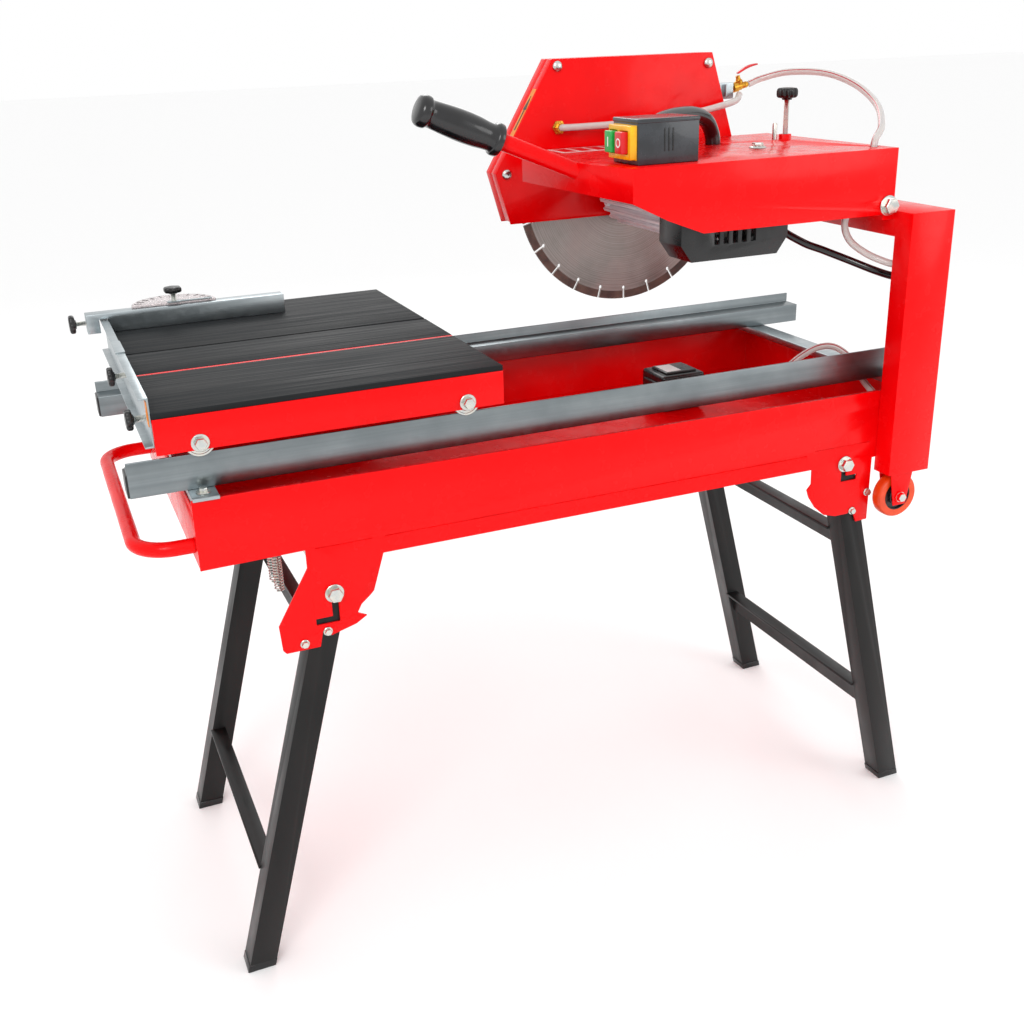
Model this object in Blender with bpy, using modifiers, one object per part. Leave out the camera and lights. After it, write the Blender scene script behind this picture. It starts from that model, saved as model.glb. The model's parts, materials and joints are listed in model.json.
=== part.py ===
"""Tile and stone cutter: a table saw with a rolling carriage, a tilting motor arm and folding legs.

+X runs along the rails, towards the arm's column. +Y runs away from the operator. +Z is up and
the floor is at Z = 0. Every size is in metres, written as a count of MM. The frame below is the
machine's own: its X = 0 and Y = 0 are the middle of the rails' span across and a point between the
legs. The last step hangs every piece on one empty, so that the world origin is the middle of the
whole machine's footprint.
"""

import math

import bmesh
import bpy
from mathutils import Matrix, Vector

MM = 0.001
GAP = 0.3 * MM  # kept between pieces that touch

# Rails and the carriage that rolls on them.
RAIL_LEFT, RAIL_RIGHT = -724 * MM, 464 * MM
RAIL_FACE = 197.5 * MM  # outer face of each rail, from the middle line
RAIL_BOX = 33.5 * MM
RAIL_BOTTOM = 708 * MM
RAIL_BOX_HIGH = 29.5 * MM
RAIL_LIP_HIGH = 14.5 * MM
RAIL_LIP_THICK = 2.5 * MM
RAIL_TOP = RAIL_BOTTOM + RAIL_BOX_HIGH + RAIL_LIP_HIGH

TABLE_LEFT, TABLE_LONG = -688 * MM, 437 * MM
TABLE_NEAR, TABLE_FAR = -205.5 * MM, 346 * MM
TABLE_TOP = 809 * MM
PAD_THICK = 7 * MM
SKIRT_HIGH = 51 * MM
SHEET = 2.5 * MM
TABLE_STEEL = TABLE_TOP - PAD_THICK - GAP
WIDE_SLOT = (-25 * MM, -17 * MM)
ROLLER_X = (TABLE_LEFT + 51 * MM, TABLE_LEFT + TABLE_LONG - 50 * MM)
ROLLER_ROOT, ROLLER_RIM, ROLLER_WIDE = 14.5 * MM, 18.5 * MM, 9 * MM
ROLLER_Z = RAIL_TOP + ROLLER_ROOT + GAP

# Tray and its two side plates, which also carry the legs.
TRAY_LEFT, TRAY_RIGHT = -660 * MM, 404 * MM
SIDE_FACE = 230 * MM
SIDE_THICK = 3 * MM
TRAY_FLOOR = 617 * MM
TRAY_TOP_LEFT, TRAY_TOP_RIGHT = 705 * MM, 698 * MM
LOWER_EDGE = 594 * MM
TRAY_SHEET = 2 * MM

# Folding legs. The left pair's pivot is lower, so that the folded pairs lie one above the other.
LEG_TUBE = 36 * MM
FOOT_HIGH = 12 * MM
LEFT_PIVOT = (-501 * MM, 552 * MM)
RIGHT_PIVOT = (278.5 * MM, 594 * MM)
LEFT_FOOT_X, RIGHT_FOOT_X = -652.5 * MM, 425.5 * MM
PIVOT_BOLT = 6 * MM

# Column with the beam that carries the arm.
COLUMN_X = (333 * MM, 405 * MM)
COLUMN_Y = (-264.5 * MM, -230.5 * MM)
COLUMN_BOTTOM, COLUMN_TOP = 576 * MM, 956 * MM
BEAM_HIGH = 35 * MM
BEAM_FAR = 84 * MM
COLUMN_WALL = 3 * MM

# Arm, motor, blade and guard.
HINGE_X, HINGE_Z = 320 * MM, 964 * MM
HINGE_BOLT = 7 * MM
HINGE_TUBE = 14 * MM
ARM_NEAR, ARM_FAR = -227 * MM, 85.5 * MM
ARM_LEFT, ARM_RIGHT = -77 * MM, 330 * MM
ARM_TOP, ARM_BOTTOM = 1040 * MM, 952 * MM
ARM_SHEET = 3 * MM
BLADE_X, BLADE_Z = 81 * MM, 978 * MM
BLADE_Y = 98.5 * MM
BLADE_RADIUS, BLADE_THICK = 175 * MM, 3 * MM
BLADE_SEGMENTS = 24
ARBOR = 12.7 * MM
NARROW_SLOT = (BLADE_Y - 2.5 * MM, BLADE_Y + 2.5 * MM)
GUARD_NEAR, GUARD_FAR = 86 * MM, 124 * MM
GUARD_SEAM = 104.5 * MM
GUARD_SHEET = 2 * MM
MOTOR_RADIUS = 56 * MM
MOTOR_Y = (-160 * MM, 72 * MM)
COWL_NEAR = -218 * MM

# Transport wheels.
WHEEL_X, WHEEL_Z = 362 * MM, 537 * MM
WHEEL_RADIUS, WHEEL_WIDE = 34 * MM, 20 * MM
WHEEL_Y = 245 * MM

# Side bar and fence.
BAR_WIDE, BAR_HIGH, BAR_TOP = 11 * MM, 60 * MM, 828 * MM
BAR_NEAR, BAR_FAR = -204 * MM, 320 * MM
FENCE_LEFT, FENCE_LONG = -719 * MM, 292 * MM
FENCE_NEAR, FENCE_DEEP, FENCE_HIGH = 250 * MM, 24 * MM, 28 * MM
FENCE_BOTTOM = TABLE_TOP + GAP

LEFT_EDGE = -743 * MM  # the fence knob's far end, the leftmost point
BOLT_PROUD = 1.5 * MM  # how far the near wheel's bolt head stands in front of the column
HOSE = 5 * MM  # radius of the water hose
CABLE = 5.5 * MM


# ---- scene, materials and small helpers ----------------------------------------------------


def clear_scene():
    for thing in list(bpy.data.objects):
        bpy.data.objects.remove(thing, do_unlink=True)


clear_scene()
parts = bpy.data.collections.new("tile_cutter")
cutters = bpy.data.collections.new("cutters")
bpy.context.scene.collection.children.link(parts)
bpy.context.scene.collection.children.link(cutters)


def material(name, colour, roughness, metallic=0.0):
    made = bpy.data.materials.new(name)
    made.use_nodes = True
    shader = made.node_tree.nodes["Principled BSDF"]
    shader.inputs["Base Color"].default_value = (*colour, 1)
    shader.inputs["Roughness"].default_value = roughness
    shader.inputs["Metallic"].default_value = metallic
    return made


RED = material("red_powder_coat", (0.78, 0.01, 0.01), 0.25)
BLACK_PAINT = material("black_powder_coat", (0.015, 0.015, 0.016), 0.35)
ZINC = material("galvanised_steel", (0.62, 0.66, 0.67), 0.35, 1.0)
BRIGHT = material("bright_zinc_fastener", (0.7, 0.7, 0.7), 0.25, 1.0)
RUBBER = material("ribbed_rubber", (0.02, 0.022, 0.024), 0.7)
BLACK_PLASTIC = material("black_plastic", (0.012, 0.012, 0.013), 0.3)
ALUMINIUM = material("cast_aluminium", (0.75, 0.76, 0.78), 0.35, 1.0)
STEEL = material("ground_steel", (0.42, 0.4, 0.4), 0.35, 1.0)
ORANGE = material("orange_polyurethane", (0.9, 0.16, 0.02), 0.35)
GREY = material("dark_grey_plastic", (0.05, 0.055, 0.06), 0.4)
GREEN = material("green_button", (0.02, 0.55, 0.12), 0.35)
RED_BUTTON = material("red_button", (0.8, 0.02, 0.02), 0.3)
CLEAR = material("clear_vinyl_hose", (0.75, 0.75, 0.72), 0.2)
BRASS = material("brass", (0.7, 0.45, 0.15), 0.3, 1.0)
FROSTED = material("frosted_acrylic", (0.85, 0.8, 0.8), 0.3)


def add(name, mesh, place=Matrix()):
    """One object in the parts' collection, with its place in its own matrix."""
    made = bpy.data.objects.new(name, mesh)
    parts.objects.link(made)
    made.matrix_world = place
    return made


def finish(piece, finish_material, smooth=True):
    piece.data.materials.clear()
    piece.data.materials.append(finish_material)
    if smooth:
        piece.data.shade_smooth()
        piece.data.set_sharp_from_angle(angle=math.radians(35))
    return piece


def mesh_from(fill):
    """A mesh made by a function that fills a bmesh."""
    built = bmesh.new()
    fill(built)
    made = bpy.data.meshes.new("mesh")
    built.to_mesh(made)
    built.free()
    return made


def box(name, low, high, origin=None):
    """A box between two corners, whose object stands at its middle or at the given origin."""
    low, high = Vector(low), Vector(high)
    middle = (low + high) / 2
    origin = Vector(origin) if origin else middle

    def fill(built):
        bmesh.ops.create_cube(built, size=1)
        bmesh.ops.scale(built, vec=high - low, verts=built.verts)
        bmesh.ops.translate(built, vec=middle - origin, verts=built.verts)

    return add(name, mesh_from(fill), Matrix.Translation(origin))


def rod(name, start, end, radius, sides=24, end_radius=None):
    """A cylinder or cone from one point to another, whose object stands at its start."""
    start, end = Vector(start), Vector(end)
    along = end - start

    def fill(built):
        bmesh.ops.create_cone(
            built, cap_ends=True, segments=sides, depth=along.length,
            radius1=radius, radius2=radius if end_radius is None else end_radius,
        )
        bmesh.ops.translate(built, vec=(0, 0, along.length / 2), verts=built.verts)

    turn = along.to_track_quat("Z", "Y").to_matrix().to_4x4()
    return add(name, mesh_from(fill), Matrix.Translation(start) @ turn)


def as_mesh(curve):
    """The curve's own surface as a mesh object with its loose caps welded on."""
    bpy.context.view_layer.update()
    evaluated = curve.evaluated_get(bpy.context.evaluated_depsgraph_get())
    made = bpy.data.meshes.new_from_object(evaluated)
    built = bmesh.new()
    built.from_mesh(made)
    bmesh.ops.remove_doubles(built, verts=built.verts, dist=0.01 * MM)
    bmesh.ops.recalc_face_normals(built, faces=built.faces)
    built.to_mesh(made)
    built.free()
    name, place = curve.name, curve.matrix_world.copy()
    bpy.data.objects.remove(curve, do_unlink=True)
    return add(name, made, place)


def plate(name, outline, low, high, across="Y", holes=()):
    """A flat plate: an outline in XZ (across Y), XY (across Z) or YZ (across X), between low and high."""
    shape = bpy.data.curves.new(name, "CURVE")
    shape.dimensions = "2D"
    shape.fill_mode = "BOTH"
    shape.extrude = (high - low) / 2
    for ring in (outline, *holes):
        spline = shape.splines.new("POLY")
        spline.points.add(len(ring) - 1)
        for point, (u, v) in zip(spline.points, ring):
            point.co = (u, v, 0, 1)
        spline.use_cyclic_u = True
    middle = (low + high) / 2
    if across == "Y":
        place = Matrix.Translation((0, middle, 0)) @ Matrix.Rotation(math.pi / 2, 4, "X")
    elif across == "X":
        turn = Matrix(((0, 0, 1, 0), (1, 0, 0, 0), (0, 1, 0, 0), (0, 0, 0, 1)))
        place = Matrix.Translation((middle, 0, 0)) @ turn
    else:
        place = Matrix.Translation((0, 0, middle))
    made = bpy.data.objects.new(name, shape)
    parts.objects.link(made)
    made.matrix_world = place
    return as_mesh(made)


def tube(name, points, radius, resolution=2):
    """A solid round bar or hose through the points."""
    shape = bpy.data.curves.new(name, "CURVE")
    shape.dimensions = "3D"
    shape.bevel_depth = radius
    shape.bevel_resolution = resolution
    shape.use_fill_caps = True
    spline = shape.splines.new("POLY")
    spline.points.add(len(points) - 1)
    for place, point in zip(spline.points, points):
        place.co = (*point, 1)
    made = bpy.data.objects.new(name, shape)
    parts.objects.link(made)
    return as_mesh(made)


def turned(name, profile, place, steps=32):
    """A closed profile of (radius, height) turned about its Z axis, its outer side listed top to bottom."""
    def fill(built):
        corners = [built.verts.new((radius, 0, height)) for radius, height in profile]
        for first, second in zip(corners, corners[1:]):
            built.edges.new((first, second))

    made = add(name, mesh_from(fill), place)
    screw = made.modifiers.new("turn", "SCREW")
    screw.axis = "Z"
    screw.steps = screw.render_steps = steps
    screw.use_merge_vertices = True
    screw.merge_threshold = 0.01 * MM
    return made


def boolean(piece, others, operation):
    for other in others:
        step = piece.modifiers.new(other.name, "BOOLEAN")
        step.operation = operation
        step.object = other
        other.hide_render = True
        other.display_type = "WIRE"
        parts.objects.unlink(other)
        cutters.objects.link(other)
    return piece


def weld(piece, *others):
    return boolean(piece, others, "UNION")


def cut(piece, *others):
    return boolean(piece, others, "DIFFERENCE")


def circle(centre, radius, count=16):
    return [
        (centre[0] + radius * math.cos(turn), centre[1] + radius * math.sin(turn))
        for turn in (2 * math.pi * i / count for i in range(count))
    ]


def smooth_route(points, spacing):
    """Points at about one spacing along a Catmull-Rom curve through the route's own points."""
    route = [Vector(point) for point in points]
    route = [2 * route[0] - route[1], *route, 2 * route[-1] - route[-2]]
    made = []
    for before, start, end, after in zip(route, route[1:], route[2:], route[3:]):
        count = max(2, round((end - start).length / spacing))
        for i in range(count):
            t = i / count
            made.append(0.5 * (2 * start + (end - before) * t
                        + (2 * before - 5 * start + 4 * end - after) * t * t
                        + (3 * start - before - 3 * end + after) * t ** 3))
    return [*made, route[-2]]


def along_y(x, y, z, direction=1):
    """A place whose local +Z points along +Y, or along -Y."""
    turn = Vector((0, direction, 0)).to_track_quat("Z", "Y").to_matrix().to_4x4()
    return Matrix.Translation((x, y, z)) @ turn


def along_x(x, y, z, direction=1):
    turn = Vector((direction, 0, 0)).to_track_quat("Z", "Y").to_matrix().to_4x4()
    return Matrix.Translation((x, y, z)) @ turn


def lobed(name, radius, thick, stem, stem_radius, place, lobes=6):
    """A clamp knob: a lobed head on a round stem, the stem's foot at local Z = 0."""
    rim = [
        (radius * (0.9 + 0.1 * math.cos(lobes * turn)) * math.cos(turn),
         radius * (0.9 + 0.1 * math.cos(lobes * turn)) * math.sin(turn))
        for turn in (2 * math.pi * i / (4 * lobes) for i in range(4 * lobes))
    ]
    head = plate(name, rim, stem, stem + thick, "Z")
    neck = rod(name + "_stem", (0, 0, 0), (0, 0, stem + thick / 2), stem_radius, 16)
    head.matrix_world = place @ head.matrix_world
    neck.matrix_world = place @ neck.matrix_world
    return weld(head, neck)


# ---- rails, tray and column ---------------------------------------------------------------


def rail(side, name):
    """A box rail with an upright lip on its outer side, on which the carriage's rollers run."""
    inner, outer = side * (RAIL_FACE - RAIL_BOX), side * RAIL_FACE
    low, high = sorted((inner, outer))
    beam = box(name, (RAIL_LEFT, low, RAIL_BOTTOM), (RAIL_RIGHT, high, RAIL_BOTTOM + RAIL_BOX_HIGH))
    low, high = sorted((outer - side * RAIL_LIP_THICK, outer))
    lip = box(name + "_lip", (RAIL_LEFT, low, RAIL_BOTTOM + RAIL_BOX_HIGH - MM),
              (RAIL_RIGHT, high, RAIL_TOP))
    return finish(weld(beam, lip), ZINC)


near_rail = rail(-1, "near_rail")
far_rail = rail(1, "far_rail")


def leg_slot(side, pivot, down, shift):
    """A cutter for the L-shaped slot below a leg's bolt: straight down, then sideways."""
    x, z = pivot
    half = 4.5 * MM
    way = math.copysign(1, shift)
    outline = [(x - way * half, z + half), (x + way * half, z + half), (x + way * half, z - down + half),
               (x + shift + way * half, z - down + half), (x + shift + way * half, z - down - half),
               (x - way * half, z - down - half)]
    return plate("leg_slot", outline, side * SIDE_FACE - 10 * MM, side * SIDE_FACE + 10 * MM)


def side_plate(side, name):
    """A side of the tray in one sheet with the two ears that carry the legs."""
    lx, lz = LEFT_PIVOT
    rx, rz = RIGHT_PIVOT
    left_ear = [(-31, 65), (-31, 40), (-74, -32), (-72, -66), (-68, -71), (-24, -71), (-19, -50), (-8, -58),
                (25, -49), (40, -40), (28, -34), (34, -23), (45, -14), (52, -7)]
    right_ear = [(-57, -23), (-64, -31), (-60, -43), (-48, -61), (-31, -76), (-10, -82), (12, -82), (20, -75),
                 (29, -98), (49, -97)]
    outline = [(TRAY_RIGHT, LOWER_EDGE + 5 * MM), (TRAY_RIGHT, TRAY_TOP_RIGHT), (TRAY_LEFT, TRAY_TOP_LEFT)]
    outline += [(TRAY_LEFT, TRAY_FLOOR - 2 * MM)] + [(lx + u * MM, lz + w * MM) for u, w in left_ear]
    outline += [(lx + 68 * MM, LOWER_EDGE), (rx - 57.5 * MM, LOWER_EDGE)]
    outline += [(rx + u * MM, rz + w * MM) for u, w in right_ear] + [(rx + 49.5 * MM, LOWER_EDGE + 2 * MM)]
    low, high = sorted((side * (SIDE_FACE - SIDE_THICK), side * SIDE_FACE))
    sheet = plate(name, outline, low, high)
    return finish(cut(sheet, leg_slot(side, LEFT_PIVOT, 36 * MM, -22 * MM),
                      leg_slot(side, RIGHT_PIVOT, 24 * MM, 19 * MM)), RED)


near_side_plate = side_plate(-1, "near_side_plate")
far_side_plate = side_plate(1, "far_side_plate")

inside = SIDE_FACE - SIDE_THICK - GAP
HOSE_PASS = ((356 * MM, 670 * MM), 7 * MM)  # where the pump's hose leaves the tray for the column
tray_pan = box("tray_pan", (TRAY_LEFT, -inside, TRAY_FLOOR), (TRAY_RIGHT, inside, TRAY_TOP_RIGHT - MM))
tray_hollow = box("tray_hollow", (TRAY_LEFT + TRAY_SHEET, TRAY_SHEET - inside, TRAY_FLOOR + TRAY_SHEET),
                  (TRAY_RIGHT - TRAY_SHEET, inside - TRAY_SHEET, TRAY_TOP_RIGHT + 20 * MM))
pan_pass = plate("pan_pass", circle(*HOSE_PASS), -inside - MM, TRAY_SHEET + MM - inside)
finish(cut(tray_pan, tray_hollow, pan_pass), RED)
cut(near_side_plate, plate("side_pass", circle(*HOSE_PASS), -SIDE_FACE - MM, MM - inside))


def cross_bar(name, low, high):
    bar = box(name, (low, -inside, TRAY_TOP_RIGHT - MM + GAP), (high, inside, RAIL_BOTTOM - GAP))
    return finish(bar, ZINC)


left_cross_bar = cross_bar("left_cross_bar", -658 * MM, -626 * MM)
right_cross_bar = cross_bar("right_cross_bar", 366 * MM, 398 * MM)

HANDLE_BEND, HANDLE_OUT, HANDLE_SIDE, HANDLE_Z = 45 * MM, -727 * MM, 205 * MM, 640 * MM
HANDLE_TUBE = 9.5 * MM
corner = [(HANDLE_OUT + HANDLE_BEND * (1 - math.sin(a)), HANDLE_SIDE - HANDLE_BEND * (1 - math.cos(a)), HANDLE_Z)
          for a in (math.pi / 2 * i / 6 for i in range(7))]
half = [(TRAY_LEFT - GAP, HANDLE_SIDE, HANDLE_Z), *corner]
carry_handle = tube("carry_handle", half + [(x, -y, z) for x, y, z in reversed(half)], HANDLE_TUBE, 3)
finish(carry_handle, RED)

# The column and the beam across the machine are one welded box section, open underneath.
column = box("column", (COLUMN_X[0], COLUMN_Y[0], COLUMN_BOTTOM), (COLUMN_X[1], COLUMN_Y[1], COLUMN_TOP))
beam = box("beam", (COLUMN_X[0], COLUMN_Y[0] + MM, COLUMN_TOP - BEAM_HIGH), (COLUMN_X[1], BEAM_FAR, COLUMN_TOP))
hollow = box("column_hollow", (COLUMN_X[0] + COLUMN_WALL, COLUMN_Y[0] + COLUMN_WALL, COLUMN_BOTTOM - 10 * MM),
             (COLUMN_X[1] - COLUMN_WALL, COLUMN_Y[1] - COLUMN_WALL, COLUMN_TOP - BEAM_HIGH))
stop_shelf = box("stop_shelf", (273 * MM, -46 * MM, 996 * MM), (350 * MM, -6 * MM, 1000 * MM))
stop_post = box("stop_post", (336 * MM, -46 * MM, COLUMN_TOP - MM), (350 * MM, -6 * MM, 998 * MM))
cable_hole = rod("cable_hole", (352 * MM, -225 * MM, 870.5 * MM), (352 * MM, -238 * MM, 870.5 * MM), 14 * MM)
hose_hole = rod("hose_hole", (356 * MM, -225 * MM, 670 * MM), (356 * MM, -238 * MM, 670 * MM), 7 * MM)
finish(cut(weld(column, beam, stop_shelf, stop_post), hollow, cable_hole, hose_hole), RED)

HINGE_Y = (ARM_NEAR + ARM_SHEET + GAP, ARM_FAR - ARM_SHEET - GAP)
hinge_tube = rod("arm_hinge_tube", (HINGE_X, HINGE_Y[0], HINGE_Z), (HINGE_X, HINGE_Y[1], HINGE_Z),
                 HINGE_TUBE)
hinge_bore = rod("hinge_bore", (HINGE_X, HINGE_Y[0] - MM, HINGE_Z),
                 (HINGE_X, HINGE_Y[1] + MM, HINGE_Z), HINGE_BOLT + GAP)
cradle = box("cradle", (HINGE_X - 5 * MM, HINGE_Y[0], 944 * MM),
             (COLUMN_X[0] + MM, HINGE_Y[1] - 2 * MM, 955 * MM))
weld(column, cradle, hinge_tube)
cut(column, hinge_bore)

pump = box("pump_body", (124 * MM, 40 * MM, TRAY_FLOOR + TRAY_SHEET + GAP), (202 * MM, 110 * MM, 682 * MM))
pump_neck = rod("pump_neck", (174 * MM, 42 * MM, 650 * MM), (174 * MM, 26 * MM, 650 * MM), 7 * MM, 12)
water_pump = finish(weld(pump, pump_neck), BLACK_PLASTIC)
water_pump.name = "water_pump"


def bolt(name, start, end, radius, head, head_long):
    """A through bolt along Y with a washer face and a hexagon head at its start and a nut at its end."""
    x, y, z = start
    way = 1 if end[1] > y else -1
    shank = rod(name, start, end, radius, 16)
    washer = rod(name + "_washer", (x, y - 3 * way * MM, z), (x, y, z), head * 1.25, 24)
    hexagon = rod(name + "_head", (x, y - way * head_long, z), (x, y - way * MM, z), head, 6)
    return finish(weld(shank, washer, hexagon), BRIGHT)


def transport_wheel(side, name, carrier):
    """A wheel turning on a bolt, in a fork that hangs from its carrier."""
    y = side * WHEEL_Y
    wheel = turned(name + "_wheel", [(8 * MM, WHEEL_WIDE / 2), (WHEEL_RADIUS - 3 * MM, WHEEL_WIDE / 2),
                                     (WHEEL_RADIUS, WHEEL_WIDE / 2 - 3 * MM),
                                     (WHEEL_RADIUS, 3 * MM - WHEEL_WIDE / 2),
                                     (WHEEL_RADIUS - 3 * MM, -WHEEL_WIDE / 2), (8 * MM, -WHEEL_WIDE / 2),
                                     (8 * MM, WHEEL_WIDE / 2)], along_y(WHEEL_X, y, WHEEL_Z))
    finish(wheel, ORANGE)
    top, foot = COLUMN_BOTTOM + MM, WHEEL_Z - 13 * MM
    cheek = [(WHEEL_X - 20 * MM, top), (WHEEL_X + 20 * MM, top), (WHEEL_X + 11 * MM, foot),
             (WHEEL_X - 11 * MM, foot)]
    inner, outer = y - side * 12 * MM, y + side * 12 * MM
    cheeks = [plate(name + "_cheek", cheek, *sorted((edge, edge + way * 2 * MM)))
              for edge, way in ((inner, -side), (outer, side))]
    crown = box(name + "_wheel_fork", (WHEEL_X - 22 * MM, min(inner, outer) - 2 * MM, top - 3 * MM),
                (WHEEL_X + 22 * MM, max(inner, outer) + 2 * MM, top))
    near_edge, far_edge = sorted((side * (SIDE_FACE - MM), side * (SIDE_FACE + 4 * MM)))
    hanger = box("hanger", (WHEEL_X - 22 * MM, near_edge, top - 2 * MM),
                 (WHEEL_X + 22 * MM, far_edge, LOWER_EDGE + 40 * MM * (side > 0)))
    start = (WHEEL_X, outer + side * MM, WHEEL_Z)
    axle = bolt(name + "_wheel_bolt", start, (WHEEL_X, inner - side * MM, WHEEL_Z), 6 * MM, 8 * MM, 8 * MM)
    weld(carrier, crown, *cheeks, axle, hanger)


transport_wheel(-1, "near", column)
transport_wheel(1, "far", far_side_plate)


# ---- folding legs -------------------------------------------------------------------------


def leg_frame(name, pivot, foot_x, above, lower, upper):
    """Two square tubes joined by two angle bars, and the plastic caps that it stands on."""
    x, z = pivot
    slope = (foot_x - x) / z
    lean = math.sqrt(1 + slope * slope)
    outer = inside - GAP
    half = LEG_TUBE / 2 * lean

    def centre(height):
        return x + slope * (z - height)

    def leg(side, label):
        low, high = sorted((side * outer, side * (outer - LEG_TUBE)))
        top = z + above / lean
        skew = slope * LEG_TUBE / 2 / lean
        outline = [(centre(FOOT_HIGH) - half, FOOT_HIGH), (centre(FOOT_HIGH) + half, FOOT_HIGH),
                   (centre(top) + LEG_TUBE / 2 / lean, top + skew), (centre(top) - LEG_TUBE / 2 / lean, top - skew)]
        made = plate(label, outline, low, high, holes=[circle(pivot, PIVOT_BOLT + GAP)])
        cap_outline = [(centre(0) - half - MM, 0), (centre(0) + half + MM, 0),
                       (centre(FOOT_HIGH) + half + MM, FOOT_HIGH - GAP),
                       (centre(FOOT_HIGH) - half - MM, FOOT_HIGH - GAP)]
        cap_edges = sorted((side * outer, side * (outer - LEG_TUBE - MM)))
        cap = plate(label + "_foot", cap_outline, *cap_edges)
        return made, cap

    near, near_cap = leg(-1, name + "_near")
    far, far_cap = leg(1, name + "_far")
    near_cap.name, far_cap.name = name + "_near_foot", name + "_far_foot"
    for cap in (near_cap, far_cap):
        finish(cap, BLACK_PLASTIC)
    bars = []
    reach = outer - LEG_TUBE + MM
    for high, deep, wide in (lower, upper):
        bars.append(box(name + "_bar", (centre(high) - 2 * MM, -reach, high - deep),
                        (centre(high) + 2 * MM, reach, high)))
        edge = sorted((centre(high) + 2 * MM, centre(high) - wide))
        bars.append(box(name + "_flange", (edge[0], -reach, high - 4 * MM), (edge[1], reach, high)))
    near.name = name + "_leg_frame"
    return finish(weld(near, far, *bars), BLACK_PAINT)


leg_frame("left", LEFT_PIVOT, LEFT_FOOT_X, 26 * MM, (145 * MM, 52 * MM, 22 * MM),
          (498 * MM, 62 * MM, 16 * MM))
leg_frame("right", RIGHT_PIVOT, RIGHT_FOOT_X, 11 * MM, (180 * MM, 41 * MM, 22 * MM),
          (477 * MM, 32 * MM, 22 * MM))

for label, (pivot_x, pivot_z) in (("left", LEFT_PIVOT), ("right", RIGHT_PIVOT)):
    pivot = bolt(f"{label}_pivot_rod", (pivot_x, -SIDE_FACE - GAP, pivot_z),
                 (pivot_x, SIDE_FACE + 2 * MM, pivot_z), PIVOT_BOLT - 1.6 * MM, 9 * MM, 10 * MM)
    nut = rod("pivot_nut", (pivot_x, SIDE_FACE + GAP, pivot_z), (pivot_x, SIDE_FACE + 10 * MM, pivot_z),
              9 * MM, 6)
    weld(pivot, nut)

SPRING_X, SPRING_TOP, SPRING_FOOT = -548 * MM, TRAY_FLOOR - GAP, 512 * MM
for label, y in (("near", -110 * MM), ("far", -78 * MM)):
    finish(rod(f"leg_spring_{label}", (SPRING_X, y, SPRING_FOOT), (SPRING_X, y, SPRING_TOP), 4 * MM, 12), ZINC)


# ---- carriage -----------------------------------------------------------------------------

TABLE_RIGHT = TABLE_LEFT + TABLE_LONG


def skirt(near, label):
    return box(label, (TABLE_LEFT, near, TABLE_TOP - SKIRT_HIGH), (TABLE_RIGHT, near + SHEET, TABLE_STEEL))


deck = box("table_frame", (TABLE_LEFT, TABLE_NEAR, TABLE_STEEL - SHEET), (TABLE_RIGHT, TABLE_FAR, TABLE_STEEL))
skirts = [skirt(TABLE_NEAR, "near_skirt"), skirt(-TABLE_NEAR - SHEET, "roller_skirt"),
          skirt(TABLE_FAR - SHEET, "far_skirt")]
axles = [
    rod("axle", (x, side * (-TABLE_NEAR - MM), ROLLER_Z), (x, side * (RAIL_FACE - 9 * MM), ROLLER_Z), 4 * MM, 16)
    for x in ROLLER_X for side in (-1, 1)
]
table_frame = finish(weld(deck, *skirts, *axles), RED)

for label, near, far in (("near", TABLE_NEAR, WIDE_SLOT[0]), ("middle", WIDE_SLOT[1], NARROW_SLOT[0]),
                         ("far", NARROW_SLOT[1], TABLE_FAR)):
    finish(box(f"{label}_pad", (TABLE_LEFT, near, TABLE_TOP - PAD_THICK), (TABLE_RIGHT, far, TABLE_TOP)), RUBBER)

half_wide, root_half = ROLLER_WIDE / 2, RAIL_LIP_THICK / 2 + 0.8 * MM
ROLLER_PROFILE = [(4.3 * MM, half_wide), (ROLLER_RIM, half_wide), (ROLLER_RIM, root_half + MM),
                  (ROLLER_ROOT, root_half), (ROLLER_ROOT, -root_half), (ROLLER_RIM, -root_half - MM),
                  (ROLLER_RIM, -half_wide), (4.3 * MM, -half_wide), (4.3 * MM, half_wide)]
for side, end in ((-1, "near"), (1, "far")):
    for x, hand in zip(ROLLER_X, ("left", "right")):
        place = along_y(x, side * (RAIL_FACE - RAIL_LIP_THICK / 2), ROLLER_Z)
        finish(turned(f"{end}_{hand}_roller", ROLLER_PROFILE, place), BRIGHT)

# The side bar is a channel screwed to the carriage's left end, open to the left.
bar_right = TABLE_LEFT - GAP
bar_left = bar_right - BAR_WIDE
BAR_SHEET = 2 * MM
channel = [(bar_right, BAR_TOP), (bar_left, BAR_TOP), (bar_left, BAR_TOP - BAR_SHEET),
           (bar_right - BAR_SHEET, BAR_TOP - BAR_SHEET), (bar_right - BAR_SHEET, BAR_TOP - BAR_HIGH + BAR_SHEET),
           (bar_left, BAR_TOP - BAR_HIGH + BAR_SHEET), (bar_left, BAR_TOP - BAR_HIGH), (bar_right, BAR_TOP - BAR_HIGH)]
side_bar = finish(plate("side_bar", channel, BAR_NEAR, BAR_FAR), ZINC)
KNOB_AT = bar_right - BAR_SHEET - GAP
for label, y in (("near", -168 * MM), ("far", 44 * MM)):
    place = along_x(KNOB_AT, y, 795 * MM, -1)
    finish(lobed(f"side_bar_{label}_knob", 13 * MM, 9 * MM, 14 * MM, 5 * MM, place), BLACK_PLASTIC)

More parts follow.
